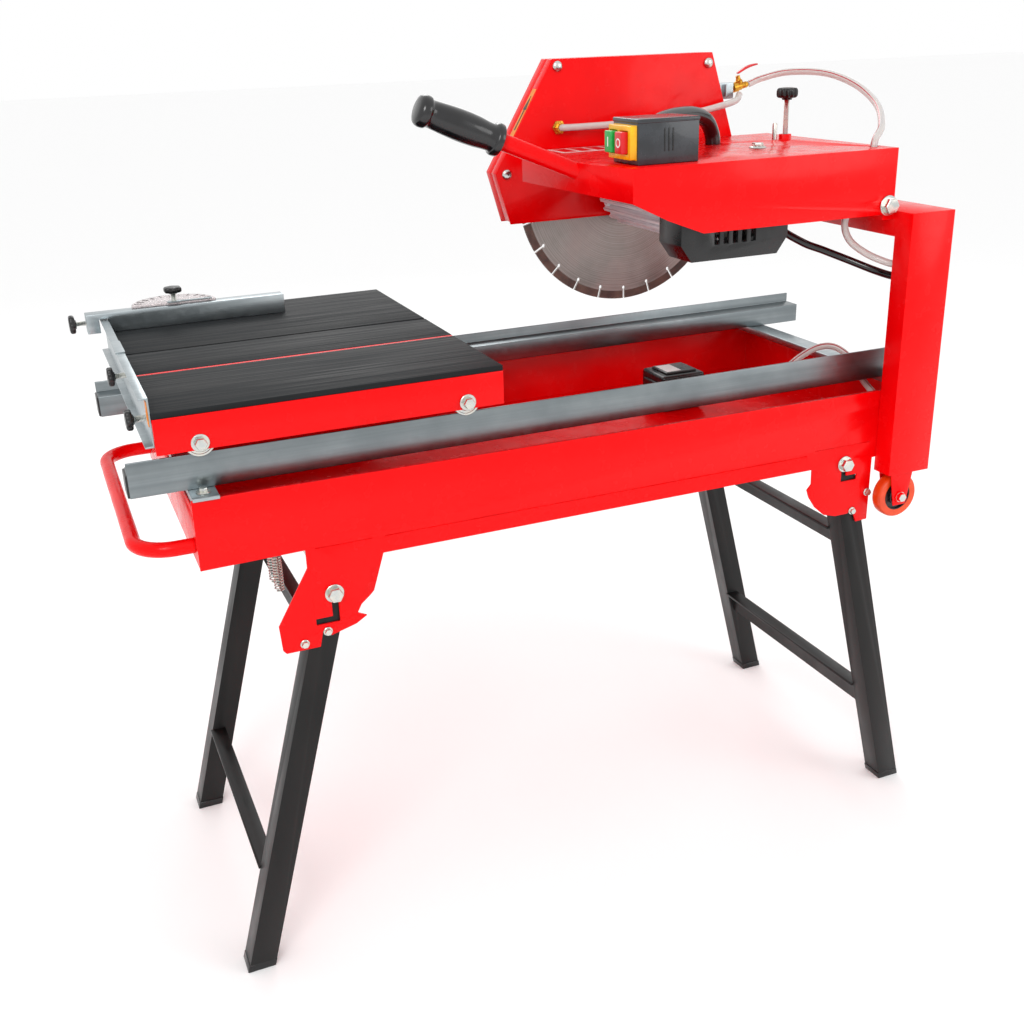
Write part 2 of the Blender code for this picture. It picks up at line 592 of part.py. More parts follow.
# The fence is a channel with its open side down, notched where the side bar passes through it.
fence_far = FENCE_NEAR + FENCE_DEEP
fence = box("fence", (FENCE_LEFT, FENCE_NEAR, FENCE_BOTTOM),
            (FENCE_LEFT + FENCE_LONG, fence_far, FENCE_BOTTOM + FENCE_HIGH))
fence_hollow = box("fence_hollow", (FENCE_LEFT + 2 * MM, FENCE_NEAR + 2 * MM, FENCE_BOTTOM - 5 * MM),
                   (FENCE_LEFT + FENCE_LONG + MM, fence_far - 2 * MM, FENCE_BOTTOM + FENCE_HIGH - 2 * MM))
notch = box("notch", (bar_left - 1.5 * MM, FENCE_NEAR - MM, FENCE_BOTTOM - MM),
            (bar_right + 1.5 * MM, fence_far + MM, BAR_TOP + 1.5 * MM))
stem_hole = rod("stem_hole", (FENCE_LEFT - MM, 262 * MM, 824 * MM),
                (FENCE_LEFT + 5 * MM, 262 * MM, 824 * MM), 4.4 * MM)
finish(cut(fence, fence_hollow, notch, stem_hole), ZINC)
clamp = lobed("fence_clamp_knob", 14 * MM, 10 * MM, 32 * MM, 4 * MM,
              along_x(bar_left - 1.6 * MM, 262 * MM, 824 * MM, -1))
finish(clamp, BLACK_PLASTIC)

GAUGE_PIVOT = (-590 * MM, 262 * MM, FENCE_BOTTOM + FENCE_HIGH + GAP)
arc = [(GAUGE_PIVOT[0] + 62 * MM * math.cos(a), GAUGE_PIVOT[1] + 62 * MM * math.sin(a))
       for a in (math.pi * i / 16 for i in range(17))]
protractor = plate("angle_gauge", arc, GAUGE_PIVOT[2], GAUGE_PIVOT[2] + 3 * MM, "Z")
finish(protractor, FROSTED)
arm_low = GAUGE_PIVOT[2] + 3 * MM + GAP
needle = [(GAUGE_PIVOT[0] + u * MM, GAUGE_PIVOT[1] + v * MM) for u, v in ((-9, -5), (56, -2), (56, 2), (-9, 5))]
pointer = plate("gauge_pointer", needle, arm_low, arm_low + 2 * MM, "Z")
gauge_knob = lobed("gauge_knob", 14 * MM, 10 * MM, 12 * MM, 5 * MM,
                   Matrix.Translation((GAUGE_PIVOT[0], GAUGE_PIVOT[1], arm_low + MM)))
finish(weld(pointer, gauge_knob), BLACK_PLASTIC)


# ---- arm ----------------------------------------------------------------------------------

steel_under = ARM_TOP - ARM_SHEET
FLANGE_END = (-128 * MM, 2 * MM)
top_outline = [(ARM_LEFT, ARM_NEAR), (ARM_RIGHT, ARM_NEAR), (ARM_RIGHT, ARM_FAR), (-66 * MM, ARM_FAR), FLANGE_END]
conduit_hole, hose_drop = (169 * MM, -14 * MM), (312 * MM, -196 * MM)
arm = plate("arm_plate", top_outline, steel_under, ARM_TOP, "Z",
            holes=[circle(conduit_hole, 13.5 * MM), circle(hose_drop, HOSE + 2 * MM)])
near_flange = [(ARM_LEFT, 997 * MM), (-25 * MM, 972 * MM), (27 * MM, ARM_BOTTOM), (ARM_RIGHT, ARM_BOTTOM),
               (ARM_RIGHT, ARM_TOP - MM), (ARM_LEFT, ARM_TOP - MM)]
far_flange = [(40 * MM, 1000 * MM), (150 * MM, ARM_BOTTOM), (ARM_RIGHT, ARM_BOTTOM), (ARM_RIGHT, ARM_TOP - MM),
              (40 * MM, ARM_TOP - MM)]
run = Vector(FLANGE_END) - Vector((ARM_LEFT, ARM_NEAR))
left_outline = [(0, 997 * MM), (run.length, 1007 * MM), (run.length, ARM_TOP - MM), (0, ARM_TOP - MM)]
left_flange = plate("left_flange", left_outline, 0, ARM_SHEET)
lean = math.atan2(run.y, run.x)
left_flange.matrix_world = (Matrix.Translation((ARM_LEFT, ARM_NEAR, 0)) @ Matrix.Rotation(lean, 4, "Z")
                            @ Matrix.Translation((0, -ARM_SHEET, 0)) @ left_flange.matrix_world)
handle_way = Vector((-0.925, -0.0, 0.38)).normalized()
HANDLE_ROOT = Vector((-103 * MM, -110 * MM, 1031 * MM))
socket = rod("handle_socket", HANDLE_ROOT - handle_way * 6 * MM, HANDLE_ROOT + handle_way * 111 * MM, 11 * MM)
spigot = rod("handle_spigot", HANDLE_ROOT, HANDLE_ROOT + handle_way * 190 * MM, 9 * MM)
arm_hinge_hole = rod("arm_hinge_hole", (HINGE_X, ARM_NEAR - MM, HINGE_Z), (HINGE_X, GUARD_NEAR, HINGE_Z),
                     HINGE_BOLT + GAP)
depth_hole = rod("depth_hole", (286 * MM, -26 * MM, 1030 * MM), (286 * MM, -26 * MM, 1060 * MM), 4.5 * MM)
depth_nut = rod("depth_nut", (286 * MM, -26 * MM, ARM_TOP - MM), (286 * MM, -26 * MM, ARM_TOP + 8 * MM), 9 * MM, 6)
weld(arm, plate("near_flange", near_flange, ARM_NEAR, ARM_NEAR + ARM_SHEET),
     plate("far_flange", far_flange, ARM_FAR - ARM_SHEET, ARM_FAR), left_flange, socket, spigot, depth_nut)
shaft_hole = rod("shaft_hole", (BLADE_X, 60 * MM, BLADE_Z), (BLADE_X, 110 * MM, BLADE_Z), 20 * MM)
finish(cut(arm, arm_hinge_hole, depth_hole, shaft_hole), RED)

bolt("arm_hinge_bolt", (HINGE_X, ARM_NEAR - GAP, HINGE_Z), (HINGE_X, ARM_FAR - MM, HINGE_Z), HINGE_BOLT,
     10 * MM, 12 * MM)

# From the blind end of its bore, along the bore to its mouth and back over the outside.
grip_profile = [(0, 192), (9.3, 192), (9.3, 112), (19, 112), (21, 116), (21, 120), (17, 124), (19.5, 160),
                (17, 210), (20, 216), (20, 224), (15, 230), (0, 230)]
to_grip = Matrix.Translation(HANDLE_ROOT) @ handle_way.to_track_quat("Z", "Y").to_matrix().to_4x4()
grip = turned("handle_grip", [(r * MM, h * MM) for r, h in reversed(grip_profile)], to_grip, 24)
finish(grip, BLACK_PLASTIC)

depth_screw = rod("depth_screw", (286 * MM, -26 * MM, 1000 * MM + GAP), (286 * MM, -26 * MM, 1098 * MM), 4 * MM, 12)
depth_knob = lobed("depth_knob", 15.5 * MM, 17 * MM, 6 * MM, 8 * MM,
                   Matrix.Translation((286 * MM, -26 * MM, 1090 * MM)), 8)
finish(weld(depth_screw, depth_knob), BLACK_PLASTIC)

# Motor with its terminal box inside, fan cowl, shaft and the parts that clamp the blade.
ribs = 30
rib_ring = []
for i in range(2 * ribs):
    a = math.pi * i / ribs
    reach = MOTOR_RADIUS - (4 * MM if i % 2 else 0)
    rib_ring.append((BLADE_X + reach * math.cos(a), BLADE_Z + reach * math.sin(a)))
motor = plate("motor_housing", rib_ring, MOTOR_Y[0], MOTOR_Y[1], holes=[circle((BLADE_X, BLADE_Z), 10 * MM)])
finish(motor, ALUMINIUM)
cowl_outline = [(15, 914), (147, 914), (163, 936), (163, 1010), (138, 1034), (24, 1034), (-1, 1010), (-1, 936)]
cowl = plate("fan_cowl", [(u * MM, w * MM) for u, w in cowl_outline], COWL_NEAR, MOTOR_Y[0] - GAP)
cowl_mouth = rod("cowl_mouth", (BLADE_X, COWL_NEAR + 4 * MM, BLADE_Z), (BLADE_X, MOTOR_Y[0] + MM, BLADE_Z), 50 * MM)
vents = [box("vent", (BLADE_X + (dx - 4) * MM, COWL_NEAR - MM, 934 * MM),
             (BLADE_X + (dx + 4) * MM, COWL_NEAR + 6 * MM, 1000 * MM))
         for dx in (-28, -14, 0, 14, 28)]
finish(cut(cowl, cowl_mouth, *vents), BLACK_PLASTIC)



def on_spindle(name, start, end, radius, sides=24):
    """A round piece on the blade's axis, between two places along Y."""
    return rod(name, (BLADE_X, start, BLADE_Z), (BLADE_X, end, BLADE_Z), radius, sides)


BLADE_NEAR, BLADE_FAR = BLADE_Y - BLADE_THICK / 2, BLADE_Y + BLADE_THICK / 2
SHAFT = 9.5 * MM
shaft = on_spindle("motor_shaft", MOTOR_Y[0] - 30 * MM, GUARD_FAR - 5 * MM, SHAFT)
inner_flange = on_spindle("inner_flange", GUARD_NEAR + 3 * MM, BLADE_NEAR - GAP, 30 * MM, 32)
blower = on_spindle("blower", MOTOR_Y[0] - 28 * MM, MOTOR_Y[0] - 8 * MM, 42 * MM)
finish(weld(shaft, inner_flange, blower), STEEL)
clamp_flange = on_spindle("outer_flange", BLADE_FAR + GAP, BLADE_FAR + 6 * MM, 30 * MM, 32)
arbor_nut = on_spindle("arbor_nut", BLADE_FAR + 5 * MM, GUARD_FAR - 8 * MM, 16 * MM, 6)
flange_bore = on_spindle("flange_bore", BLADE_NEAR - 2 * MM, GUARD_FAR, SHAFT + GAP)
finish(cut(weld(clamp_flange, arbor_nut), flange_bore), STEEL)

rim = []
step = 2 * math.pi / BLADE_SEGMENTS
for i in range(BLADE_SEGMENTS):
    gullet = BLADE_RADIUS - 17 * MM
    for turn, radius in ((0.0, gullet), (0.06, gullet), (0.06, BLADE_RADIUS), (0.35, BLADE_RADIUS),
                         (0.68, BLADE_RADIUS), (1.0, BLADE_RADIUS)):
        a = (i + turn) * step
        rim.append((BLADE_X + radius * math.cos(a), BLADE_Z + radius * math.sin(a)))
blade = plate("blade", rim, BLADE_NEAR, BLADE_FAR, holes=[circle((BLADE_X, BLADE_Z), ARBOR, 24)])
finish(blade, STEEL)

# Guard: a near shell on the arm and a cover that comes off for changing the blade.
GUARD = [(-41, 1163), (-134, 1010), (-113, 936), (299, 936), (226, 1163)]
guard_outline = [(u * MM, w * MM) for u, w in GUARD]
GUARD_MIDDLE = Vector((85 * MM, 1045 * MM))


def guard_half(name, low, high, face_low, face_high):
    """A tray shape: the face plate between two planes and a rim that is open at the bottom."""
    shell = plate(name, guard_outline, low, high)
    room = [tuple(GUARD_MIDDLE + (Vector(p) - GUARD_MIDDLE) * 0.985) for p in guard_outline]
    room = [(u, w - 15 * MM if w < 950 * MM else w) for u, w in room]
    cavity = plate(name + "_cavity", room, face_low, face_high)
    return cut(shell, cavity)


guard_shell = guard_half("guard_shell", GUARD_NEAR, GUARD_SEAM - GAP, GUARD_NEAR + GUARD_SHEET, GUARD_SEAM + MM)
guard_hole = rod("guard_hole", (BLADE_X, 80 * MM, BLADE_Z), (BLADE_X, 90 * MM, BLADE_Z), 32 * MM, 32)
finish(cut(guard_shell, guard_hole), RED)
finish(guard_half("guard_cover", GUARD_SEAM, GUARD_FAR, GUARD_SEAM - MM, GUARD_FAR - GUARD_SHEET), RED)
for label, x, z in (("upper", -28 * MM, 1152 * MM), ("lower", -118 * MM, 1008 * MM)):
    knob = lobed(f"guard_{label}_knob", 11 * MM, 8 * MM, 5 * MM, 4 * MM, along_y(x, GUARD_FAR + GAP, z))
    finish(knob, BLACK_PLASTIC)

# Switch box with its two buttons, and the conduit to the motor.
BOX_LOW, BOX_HIGH = (-58 * MM, -204 * MM, ARM_TOP + GAP), (30 * MM, -137 * MM, 1095 * MM)
switch_box = box("switch_box", BOX_LOW, BOX_HIGH)
PLATE_OUT = BOX_LOW[0] - 9 * MM
bezel = box("switch_bezel", (PLATE_OUT, -200 * MM, 1047 * MM), (BOX_LOW[0] + MM, -141 * MM, 1088 * MM))
BUTTONS = (("start_button", -154 * MM, GREEN), ("stop_button", -182 * MM, RED_BUTTON))
pockets = [box("pocket", (PLATE_OUT - MM, y - 10.5 * MM, 1053.5 * MM),
               (BOX_LOW[0] - 2 * MM, y + 10.5 * MM, 1081.5 * MM)) for _, y, _ in BUTTONS]
finish(cut(weld(switch_box, bezel), *pockets), GREY)
for label, y, colour in BUTTONS:
    button = box(label, (PLATE_OUT - 8 * MM, y - 10 * MM, 1054 * MM),
                 (PLATE_OUT + 2 * MM, y + 10 * MM, 1081 * MM))
    finish(button, colour)


def hose(name, route, radius, colour, resolution=2):
    points = [(x * MM, y * MM, z * MM) for x, y, z in route]
    return finish(tube(name, smooth_route(points, 4.5 * radius), radius, resolution), colour)


hose("switch_conduit", [(8, -136.4, 1070), (9, -124, 1071), (18, -106, 1077), (42, -86, 1084), (80, -62, 1087),
                        (120, -38, 1085), (150, -23, 1075), (165, -15, 1058), (169, -14, 1042), (169, -14, 1030)],
     11 * MM, BLACK_PLASTIC)

# Water: pump, column, under the arm, up through its plate to the tap and on to the guard.
VALVE = Vector((284 * MM, 98 * MM, 1112 * MM))
valve_barrel = rod("valve_body", VALVE - Vector((22 * MM, 0, 4 * MM)), VALVE + Vector((14 * MM, 0, 2 * MM)), 6 * MM, 12)
valve_lug = box("valve_lug", (248 * MM, 92 * MM, 1100 * MM), (268 * MM, 104 * MM, 1116 * MM))
valve_stem = rod("valve_stem", VALVE, VALVE + Vector((-4 * MM, 0, 14 * MM)), 4 * MM, 12)
finish(weld(valve_barrel, valve_lug, valve_stem), BRASS)
lever_foot = VALVE + Vector((-4.2 * MM, 0, 18.5 * MM))
finish(rod("valve_lever", lever_foot, lever_foot + Vector((34 * MM, 0, 12 * MM)), 3.5 * MM, 8), RED_BUTTON)

hose("guard_hose", [(277, 87, 1100), (262, 74, 1092), (225, 62, 1086), (180, 56, 1080), (120, 60, 1074),
                    (50, 66, 1070), (4, 71, 1069), (-18, 71, 1069), (-31, 75, 1069), (-33, 85.2, 1069)],
     HOSE, CLEAR)
hose("supply_hose", [(300.5, 98, 1114), (322, 92, 1122), (352, 66, 1130), (382, 14, 1128), (392, -48, 1112),
                     (376, -118, 1088), (344, -170, 1064), (318, -192, 1050), (312, -196, 1036), (310, -196, 1010),
                     (296, -190, 975), (286, -180, 940), (298, -178, 912), (322, -188, 892), (342, -208, 881),
                     (350, -222, 879), (351, -234, 878.5)], HOSE, CLEAR)
hose("power_cable", [(169, -30, 1018), (200, -60, 975), (225, -100, 930), (255, -125, 906), (285, -136, 893),
                     (315, -158, 879), (338, -186, 867), (349, -210, 862), (353, -222, 863), (353, -234, 863)],
     CABLE, BLACK_PLASTIC)
hose("pump_hose", [(174, 25, 650), (174, 8, 650), (180, -22, 652), (198, -50, 660), (226, -72, 676), (256, -88, 700),
                   (284, -97, 724), (310, -105, 738), (330, -117, 740), (345, -134, 728), (353, -150, 706),
                   (356, -166, 691), (357, -190, 679), (356.5, -212, 673), (356, -233, 670)],
     HOSE, CLEAR)


# ---- joints' axes and the machine's origin --------------------------------------------------

# Each moving group hangs on an empty that stands on its joint's axis.
GROUPS = {
    "left_leg_pivot": ((LEFT_PIVOT[0], 0, LEFT_PIVOT[1]), ("left_leg_frame", "left_near_foot", "left_far_foot")),
    "right_leg_pivot": ((RIGHT_PIVOT[0], 0, RIGHT_PIVOT[1]), ("right_leg_frame", "right_near_foot", "right_far_foot")),
    "carriage": ((TABLE_LEFT, 0, TABLE_TOP),
                 ("table_frame", "near_pad", "middle_pad", "far_pad", "side_bar", "side_bar_near_knob",
                  "side_bar_far_knob", "near_left_roller", "near_right_roller", "far_left_roller",
                  "far_right_roller", "fence", "fence_clamp_knob", "angle_gauge", "gauge_pointer")),
    "arm_hinge": ((HINGE_X, 0, HINGE_Z),
                  ("arm_plate", "handle_grip", "depth_screw", "motor_housing", "fan_cowl", "guard_shell",
                   "guard_cover", "guard_upper_knob", "guard_lower_knob", "switch_box", "start_button",
                   "stop_button", "switch_conduit", "valve_body", "valve_lever", "guard_hose", "supply_hose")),
    "spindle": ((BLADE_X, BLADE_Y, BLADE_Z), ("motor_shaft", "outer_flange", "blade")),
}


def hang(piece, empty):
    """Parents a piece and leaves it where it stands."""
    piece.parent = empty
    piece.matrix_parent_inverse = empty.matrix_world.inverted()


def empty_at(name, place):
    made = bpy.data.objects.new(name, None)
    parts.objects.link(made)
    made.matrix_world = Matrix.Translation(place)
    return made


bpy.context.view_layer.update()
footprint = [(LEFT_EDGE, RAIL_RIGHT), (COLUMN_Y[0] - BOLT_PROUD, TABLE_FAR)]
machine = empty_at("machine", (0, 0, 0))
for group, (place, names) in GROUPS.items():
    pivot = empty_at(group, place)
    bpy.context.view_layer.update()
    for name in names:
        hang(bpy.data.objects[name], pivot)
for thing in list(parts.objects):
    if thing.parent is None and thing is not machine:
        hang(thing, machine)
machine.location = (-sum(footprint[0]) / 2, -sum(footprint[1]) / 2, 0)
for thing in list(cutters.objects):
    thing.parent = machine
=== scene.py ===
import json
import math

import bmesh
import bpy
import numpy as np
from mathutils import Matrix, Vector


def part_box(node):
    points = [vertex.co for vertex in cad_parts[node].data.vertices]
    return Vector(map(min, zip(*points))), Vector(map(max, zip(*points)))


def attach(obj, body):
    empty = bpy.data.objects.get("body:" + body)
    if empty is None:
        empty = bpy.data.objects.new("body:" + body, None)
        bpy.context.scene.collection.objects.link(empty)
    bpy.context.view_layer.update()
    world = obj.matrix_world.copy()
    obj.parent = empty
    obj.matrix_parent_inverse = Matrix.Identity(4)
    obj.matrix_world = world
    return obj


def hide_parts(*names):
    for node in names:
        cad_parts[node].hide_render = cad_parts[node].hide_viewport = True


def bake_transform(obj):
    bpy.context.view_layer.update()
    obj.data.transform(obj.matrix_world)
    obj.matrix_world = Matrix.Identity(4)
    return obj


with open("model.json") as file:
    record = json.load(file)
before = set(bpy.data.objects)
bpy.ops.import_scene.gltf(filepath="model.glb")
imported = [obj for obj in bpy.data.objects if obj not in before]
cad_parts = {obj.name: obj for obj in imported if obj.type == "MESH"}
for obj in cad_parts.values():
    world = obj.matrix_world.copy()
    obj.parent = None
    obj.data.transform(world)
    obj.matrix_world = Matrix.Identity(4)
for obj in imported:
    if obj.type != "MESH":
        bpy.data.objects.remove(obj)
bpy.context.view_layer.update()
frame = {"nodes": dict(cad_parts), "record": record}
MM = 0.001
BODY = {node: body for body, nodes in frame["record"]["behaviour"]["bodies"].items() for node in nodes}

# %% [markdown]
# The machine's own zero is the middle line between its two rails, 724 mm from their left end.
# Places that a maker would give from there, in millimetres, are turned into the frame's metres.
# %% The machine's own zero
near_rail_box, far_rail_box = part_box("near_rail"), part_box("far_rail")
ZERO = np.array([near_rail_box[0].x + 724 * MM, (near_rail_box[0].y + far_rail_box[1].y) / 2, 0.0])


def spot(x, y, z):
    """A point in the frame, from millimetres along, across and up from the machine's zero."""
    return ZERO + np.array([x, y, z], float) * MM


print("zero of the machine", ZERO.round(4))

# %% [markdown]
# A product picture of a machine this long is taken from about 1.7 m away, a little above the
# table and to the left, with a lens slightly longer than normal so that straight edges stay calm.
# %% Camera
EYE, YAW, PITCH, ROLL = spot(-803.7, -1571.9, 1205.8), 0.388, 0.386, 0.033
camera = bpy.data.objects.new("camera", bpy.data.cameras.new("camera"))
bpy.context.scene.collection.objects.link(camera)
camera.data.sensor_width = 36
camera.data.lens = 41.84
camera.matrix_world = (Matrix.Translation(EYE) @ Matrix.Rotation(-YAW, 4, "Z")
                       @ Matrix.Rotation(math.pi / 2 - PITCH, 4, "X") @ Matrix.Rotation(-ROLL, 4, "Z"))
bpy.context.scene.camera = camera
bpy.context.scene.view_settings.view_transform = "Standard"

# %% [markdown]
# White studio: a pale floor that runs far back, a bright room all round and three large soft
# lamps. Glossy paint only looks like paint when it has something large and soft to mirror.
# %% Room and lamps
def floor_and_room():
    mesh = bpy.data.meshes.new("floor")
    wide = 30.0
    mesh.from_pydata([(-wide, -wide, 0), (wide, -wide, 0), (wide, wide, 0), (-wide, wide, 0)], [], [(0, 1, 2, 3)])
    floor = bpy.data.objects.new("floor", mesh)
    bpy.context.scene.collection.objects.link(floor)
    paper = bpy.data.materials.new("studio_paper")
    paper.use_nodes = True
    shader = paper.node_tree.nodes["Principled BSDF"]
    shader.inputs["Base Color"].default_value = (0.97, 0.97, 0.97, 1)
    shader.inputs["Roughness"].default_value = 0.9
    shader.inputs["Specular IOR Level"].default_value = 0.1
    mesh.materials.append(paper)
    room = bpy.data.worlds.new("room")
    bpy.context.scene.world = room
    room.use_nodes = True
    room.node_tree.nodes["Background"].inputs["Color"].default_value = (1, 1, 1, 1)
    room.node_tree.nodes["Background"].inputs["Strength"].default_value = 1.0


def lamp(name, place, aim, size, power):
    light = bpy.data.lights.new(name, "AREA")
    light.shape = "DISK"
    light.size = size
    light.energy = power
    made = bpy.data.objects.new(name, light)
    bpy.context.scene.collection.objects.link(made)
    way = Vector(aim) - Vector(place)
    made.matrix_world = Matrix.Translation(place) @ way.to_track_quat("-Z", "Y").to_matrix().to_4x4()


floor_and_room()
lamp("key", (-1.6, -2.4, 2.6), (0, 0, 0.7), 1.4, 34)
lamp("fill", (2.2, -2.2, 1.6), (0.2, 0, 0.7), 1.6, 14)
lamp("rim", (0.6, 2.6, 2.8), (0, 0, 0.8), 1.6, 22)

# %% [markdown]
# Colours are written as sRGB hex, the way a paint card gives them, and one function turns them
# to the linear values that the shader wants. One more adds a shader node with all that it needs.
# %% Colour and node helpers
def linear(code):
    values = np.array([int(code[i:i + 2], 16) for i in (1, 3, 5)]) / 255
    return (*np.where(values <= 0.04045, values / 12.92, ((values + 0.055) / 1.055) ** 2.4), 1.0)


def add(tree, kind, inputs=None, **settings):
    """A node with its settings; an input takes a value, or another node's output to link."""
    made = tree.nodes.new(kind)
    for key, value in settings.items():
        setattr(made, key, value)
    for key, value in (inputs or {}).items():
        if isinstance(value, bpy.types.NodeSocket):
            tree.links.new(value, made.inputs[key])
        else:
            made.inputs[key].default_value = value
    return made


def finish_of(name, **sockets):
    """A material with its Principled shader's sockets set; returns it with its tree and shader."""
    made = bpy.data.materials.new(name)
    made.use_nodes = True
    shader = made.node_tree.nodes["Principled BSDF"]
    for key, value in sockets.items():
        shader.inputs[key.replace("_", " ").title().replace("Ior", "IOR")].default_value = value
    return made, made.node_tree, shader


def pattern(tree, size_mm, stretch=(1, 1, 1), detail=3.0, kind="ShaderNodeTexNoise", **more):
    """A noise whose features are about size_mm, drawn out along an axis by stretch."""
    where = add(tree, "ShaderNodeTexCoord").outputs["Object"]
    scale = tuple(1000 / size_mm / s for s in stretch)
    mapped = add(tree, "ShaderNodeMapping", {"Vector": where, "Scale": scale}).outputs["Vector"]
    inputs = {"Vector": mapped, "Scale": 1.0, **more}
    if kind == "ShaderNodeTexNoise":
        inputs["Detail"] = detail
    return add(tree, kind, inputs)


def spread(tree, value, low, high, start=0.35, end=0.65):
    """Maps a pattern's middle range to values from low to high."""
    return add(tree, "ShaderNodeMapRange", {"Value": value, "From Min": start, "From Max": end,
                                            "To Min": low, "To Max": high}).outputs["Result"]


def blend_colours(tree, share, first, second):
    ramp = add(tree, "ShaderNodeValToRGB", {"Fac": share})
    ramp.color_ramp.elements[0].color = first
    ramp.color_ramp.elements[1].color = second
    return ramp.outputs["Color"]


def bumped(tree, shader, height, depth_mm, strength=1.0):
    bump = add(tree, "ShaderNodeBump", {"Height": height, "Strength": strength, "Distance": depth_mm * MM})
    tree.links.new(bump.outputs["Normal"], shader.inputs["Normal"])


# %% [markdown]
# Powder coat is sprayed on dry and baked, so it flows into a thick glossy skin with a faint
# orange peel: shallow waves 3 to 5 mm across that make reflections tremble. The red varies very
# slightly with thickness, and the skin is thin and rubbed where hands and tiles touch it.
# %% Red powder coat
def red_powder_coat():
    made, tree, shader = finish_of("red_powder_coat", Roughness=0.2)
    peel = pattern(tree, 4, detail=2).outputs["Fac"]
    cloud = pattern(tree, 90, detail=4).outputs["Fac"]
    colour = blend_colours(tree, spread(tree, cloud, 0, 1), linear("#E00004"), linear("#EE0206"))
    tree.links.new(colour, shader.inputs["Base Color"])
    rubbed = pattern(tree, 25, detail=6).outputs["Fac"]
    tree.links.new(spread(tree, rubbed, 0.16, 0.3), shader.inputs["Roughness"])
    shader.inputs["Specular IOR Level"].default_value = 0.14
    shader.inputs["Coat Weight"].default_value = 0.05
    shader.inputs["Coat Roughness"].default_value = 0.08
    bumped(tree, shader, peel, 0.12, 0.35)
    return made


# %% [markdown]
# The legs are coated in black with a finer, duller texture, and dust settles in its pores.
# %% Black powder coat
def black_powder_coat():
    made, tree, shader = finish_of("black_powder_coat", Roughness=0.4)
    grain = pattern(tree, 1.2, detail=4).outputs["Fac"]
    dust = pattern(tree, 60, (1, 1, 3), 8).outputs["Fac"]
    colour = blend_colours(tree, spread(tree, dust, 0, 1, 0.4, 0.8), linear("#080808"), linear("#1C1918"))
    tree.links.new(colour, shader.inputs["Base Color"])
    shader.inputs["Specular IOR Level"].default_value = 0.3
    tree.links.new(spread(tree, dust, 0.3, 0.48), shader.inputs["Roughness"])
    bumped(tree, shader, grain, 0.08, 0.5)
    return made


# %% [markdown]
# Galvanised sheet is steel under zinc. Zinc freezes in flat crystals, the spangle, that mirror the
# room by different amounts, and rolling leaves long faint streaks. Both are drawn here.
# %% Galvanised steel
def galvanised_steel(name="galvanised_steel", light="#BCC4C6", dark="#98A1A5", flow=(14, 1, 1)):
    made, tree, shader = finish_of(name, Metallic=1.0, Roughness=0.3)
    spangle = pattern(tree, 7, kind="ShaderNodeTexVoronoi").outputs["Color"]
    cells = add(tree, "ShaderNodeSeparateColor", {"Color": spangle}).outputs["Red"]
    streak = pattern(tree, 6, flow, 5).outputs["Fac"]
    cloud = pattern(tree, 55, detail=5).outputs["Fac"]
    both = add(tree, "ShaderNodeMath", {0: streak, 1: cloud}, operation="MULTIPLY").outputs["Value"]
    colour = blend_colours(tree, spread(tree, both, 0, 1, 0.05, 0.5), linear(dark), linear(light))
    tree.links.new(colour, shader.inputs["Base Color"])
    mixed = add(tree, "ShaderNodeMath", {0: cells, 1: cloud}, operation="MULTIPLY").outputs["Value"]
    tree.links.new(spread(tree, mixed, 0.3, 0.37, 0.0, 0.6), shader.inputs["Roughness"])
    bumped(tree, shader, streak, 0.05, 0.3)
    return made


# %% [markdown]
# Bolts and washers are bright zinc plated: smoother than the sheet, with a yellow-blue tint.
# %% Bright zinc
def bright_zinc():
    made, tree, shader = finish_of("bright_zinc", Metallic=1.0, Roughness=0.22)
    tint = pattern(tree, 9, detail=5).outputs["Fac"]
    colour = blend_colours(tree, spread(tree, tint, 0, 1), linear("#C2C6C4"), linear("#D8D6CC"))
    tree.links.new(colour, shader.inputs["Base Color"])
    tree.links.new(spread(tree, tint, 0.18, 0.34), shader.inputs["Roughness"])
    return made


# %% [markdown]
# The table's rubber is extruded in strips, so its grain runs lengthwise: fine ribs about 1.5 mm
# apart, broken by paler worn streaks where tiles have been pushed along.
# %% Ribbed rubber
def ribbed_rubber():
    made, tree, shader = finish_of("ribbed_rubber", Roughness=0.6)
    ribs = pattern(tree, 1.5, (120, 1, 1), 2).outputs["Fac"]
    streak = pattern(tree, 5, (40, 1, 1), 8).outputs["Fac"]
    colour = blend_colours(tree, spread(tree, streak, 0, 1, 0.38, 0.72), linear("#08090A"), linear("#1C2023"))
    tree.links.new(colour, shader.inputs["Base Color"])
    tree.links.new(spread(tree, streak, 0.55, 0.78), shader.inputs["Roughness"])
    shader.inputs["Specular IOR Level"].default_value = 0.25
    bumped(tree, shader, ribs, 0.5, 0.8)
    return made


# %% [markdown]
# Knobs, caps, the grip and the switch box are moulded. Moulding gives a skin with a faint grain
# from the tool and a slow change in gloss; the cast wheel tread and the buttons are glossier.
# %% Moulded plastics
def moulded(name, colour, worn, gloss, dull, grain_mm=0.9, depth=0.04, coat=0.0):
    made, tree, shader = finish_of(name, Roughness=gloss)
    cloud = pattern(tree, 22, detail=5).outputs["Fac"]
    tree.links.new(blend_colours(tree, spread(tree, cloud, 0, 1), linear(colour), linear(worn)),
                   shader.inputs["Base Color"])
    tree.links.new(spread(tree, cloud, gloss, dull), shader.inputs["Roughness"])
    shader.inputs["Coat Weight"].default_value = coat
    bumped(tree, shader, pattern(tree, grain_mm, detail=2).outputs["Fac"], depth, 0.4)
    return made


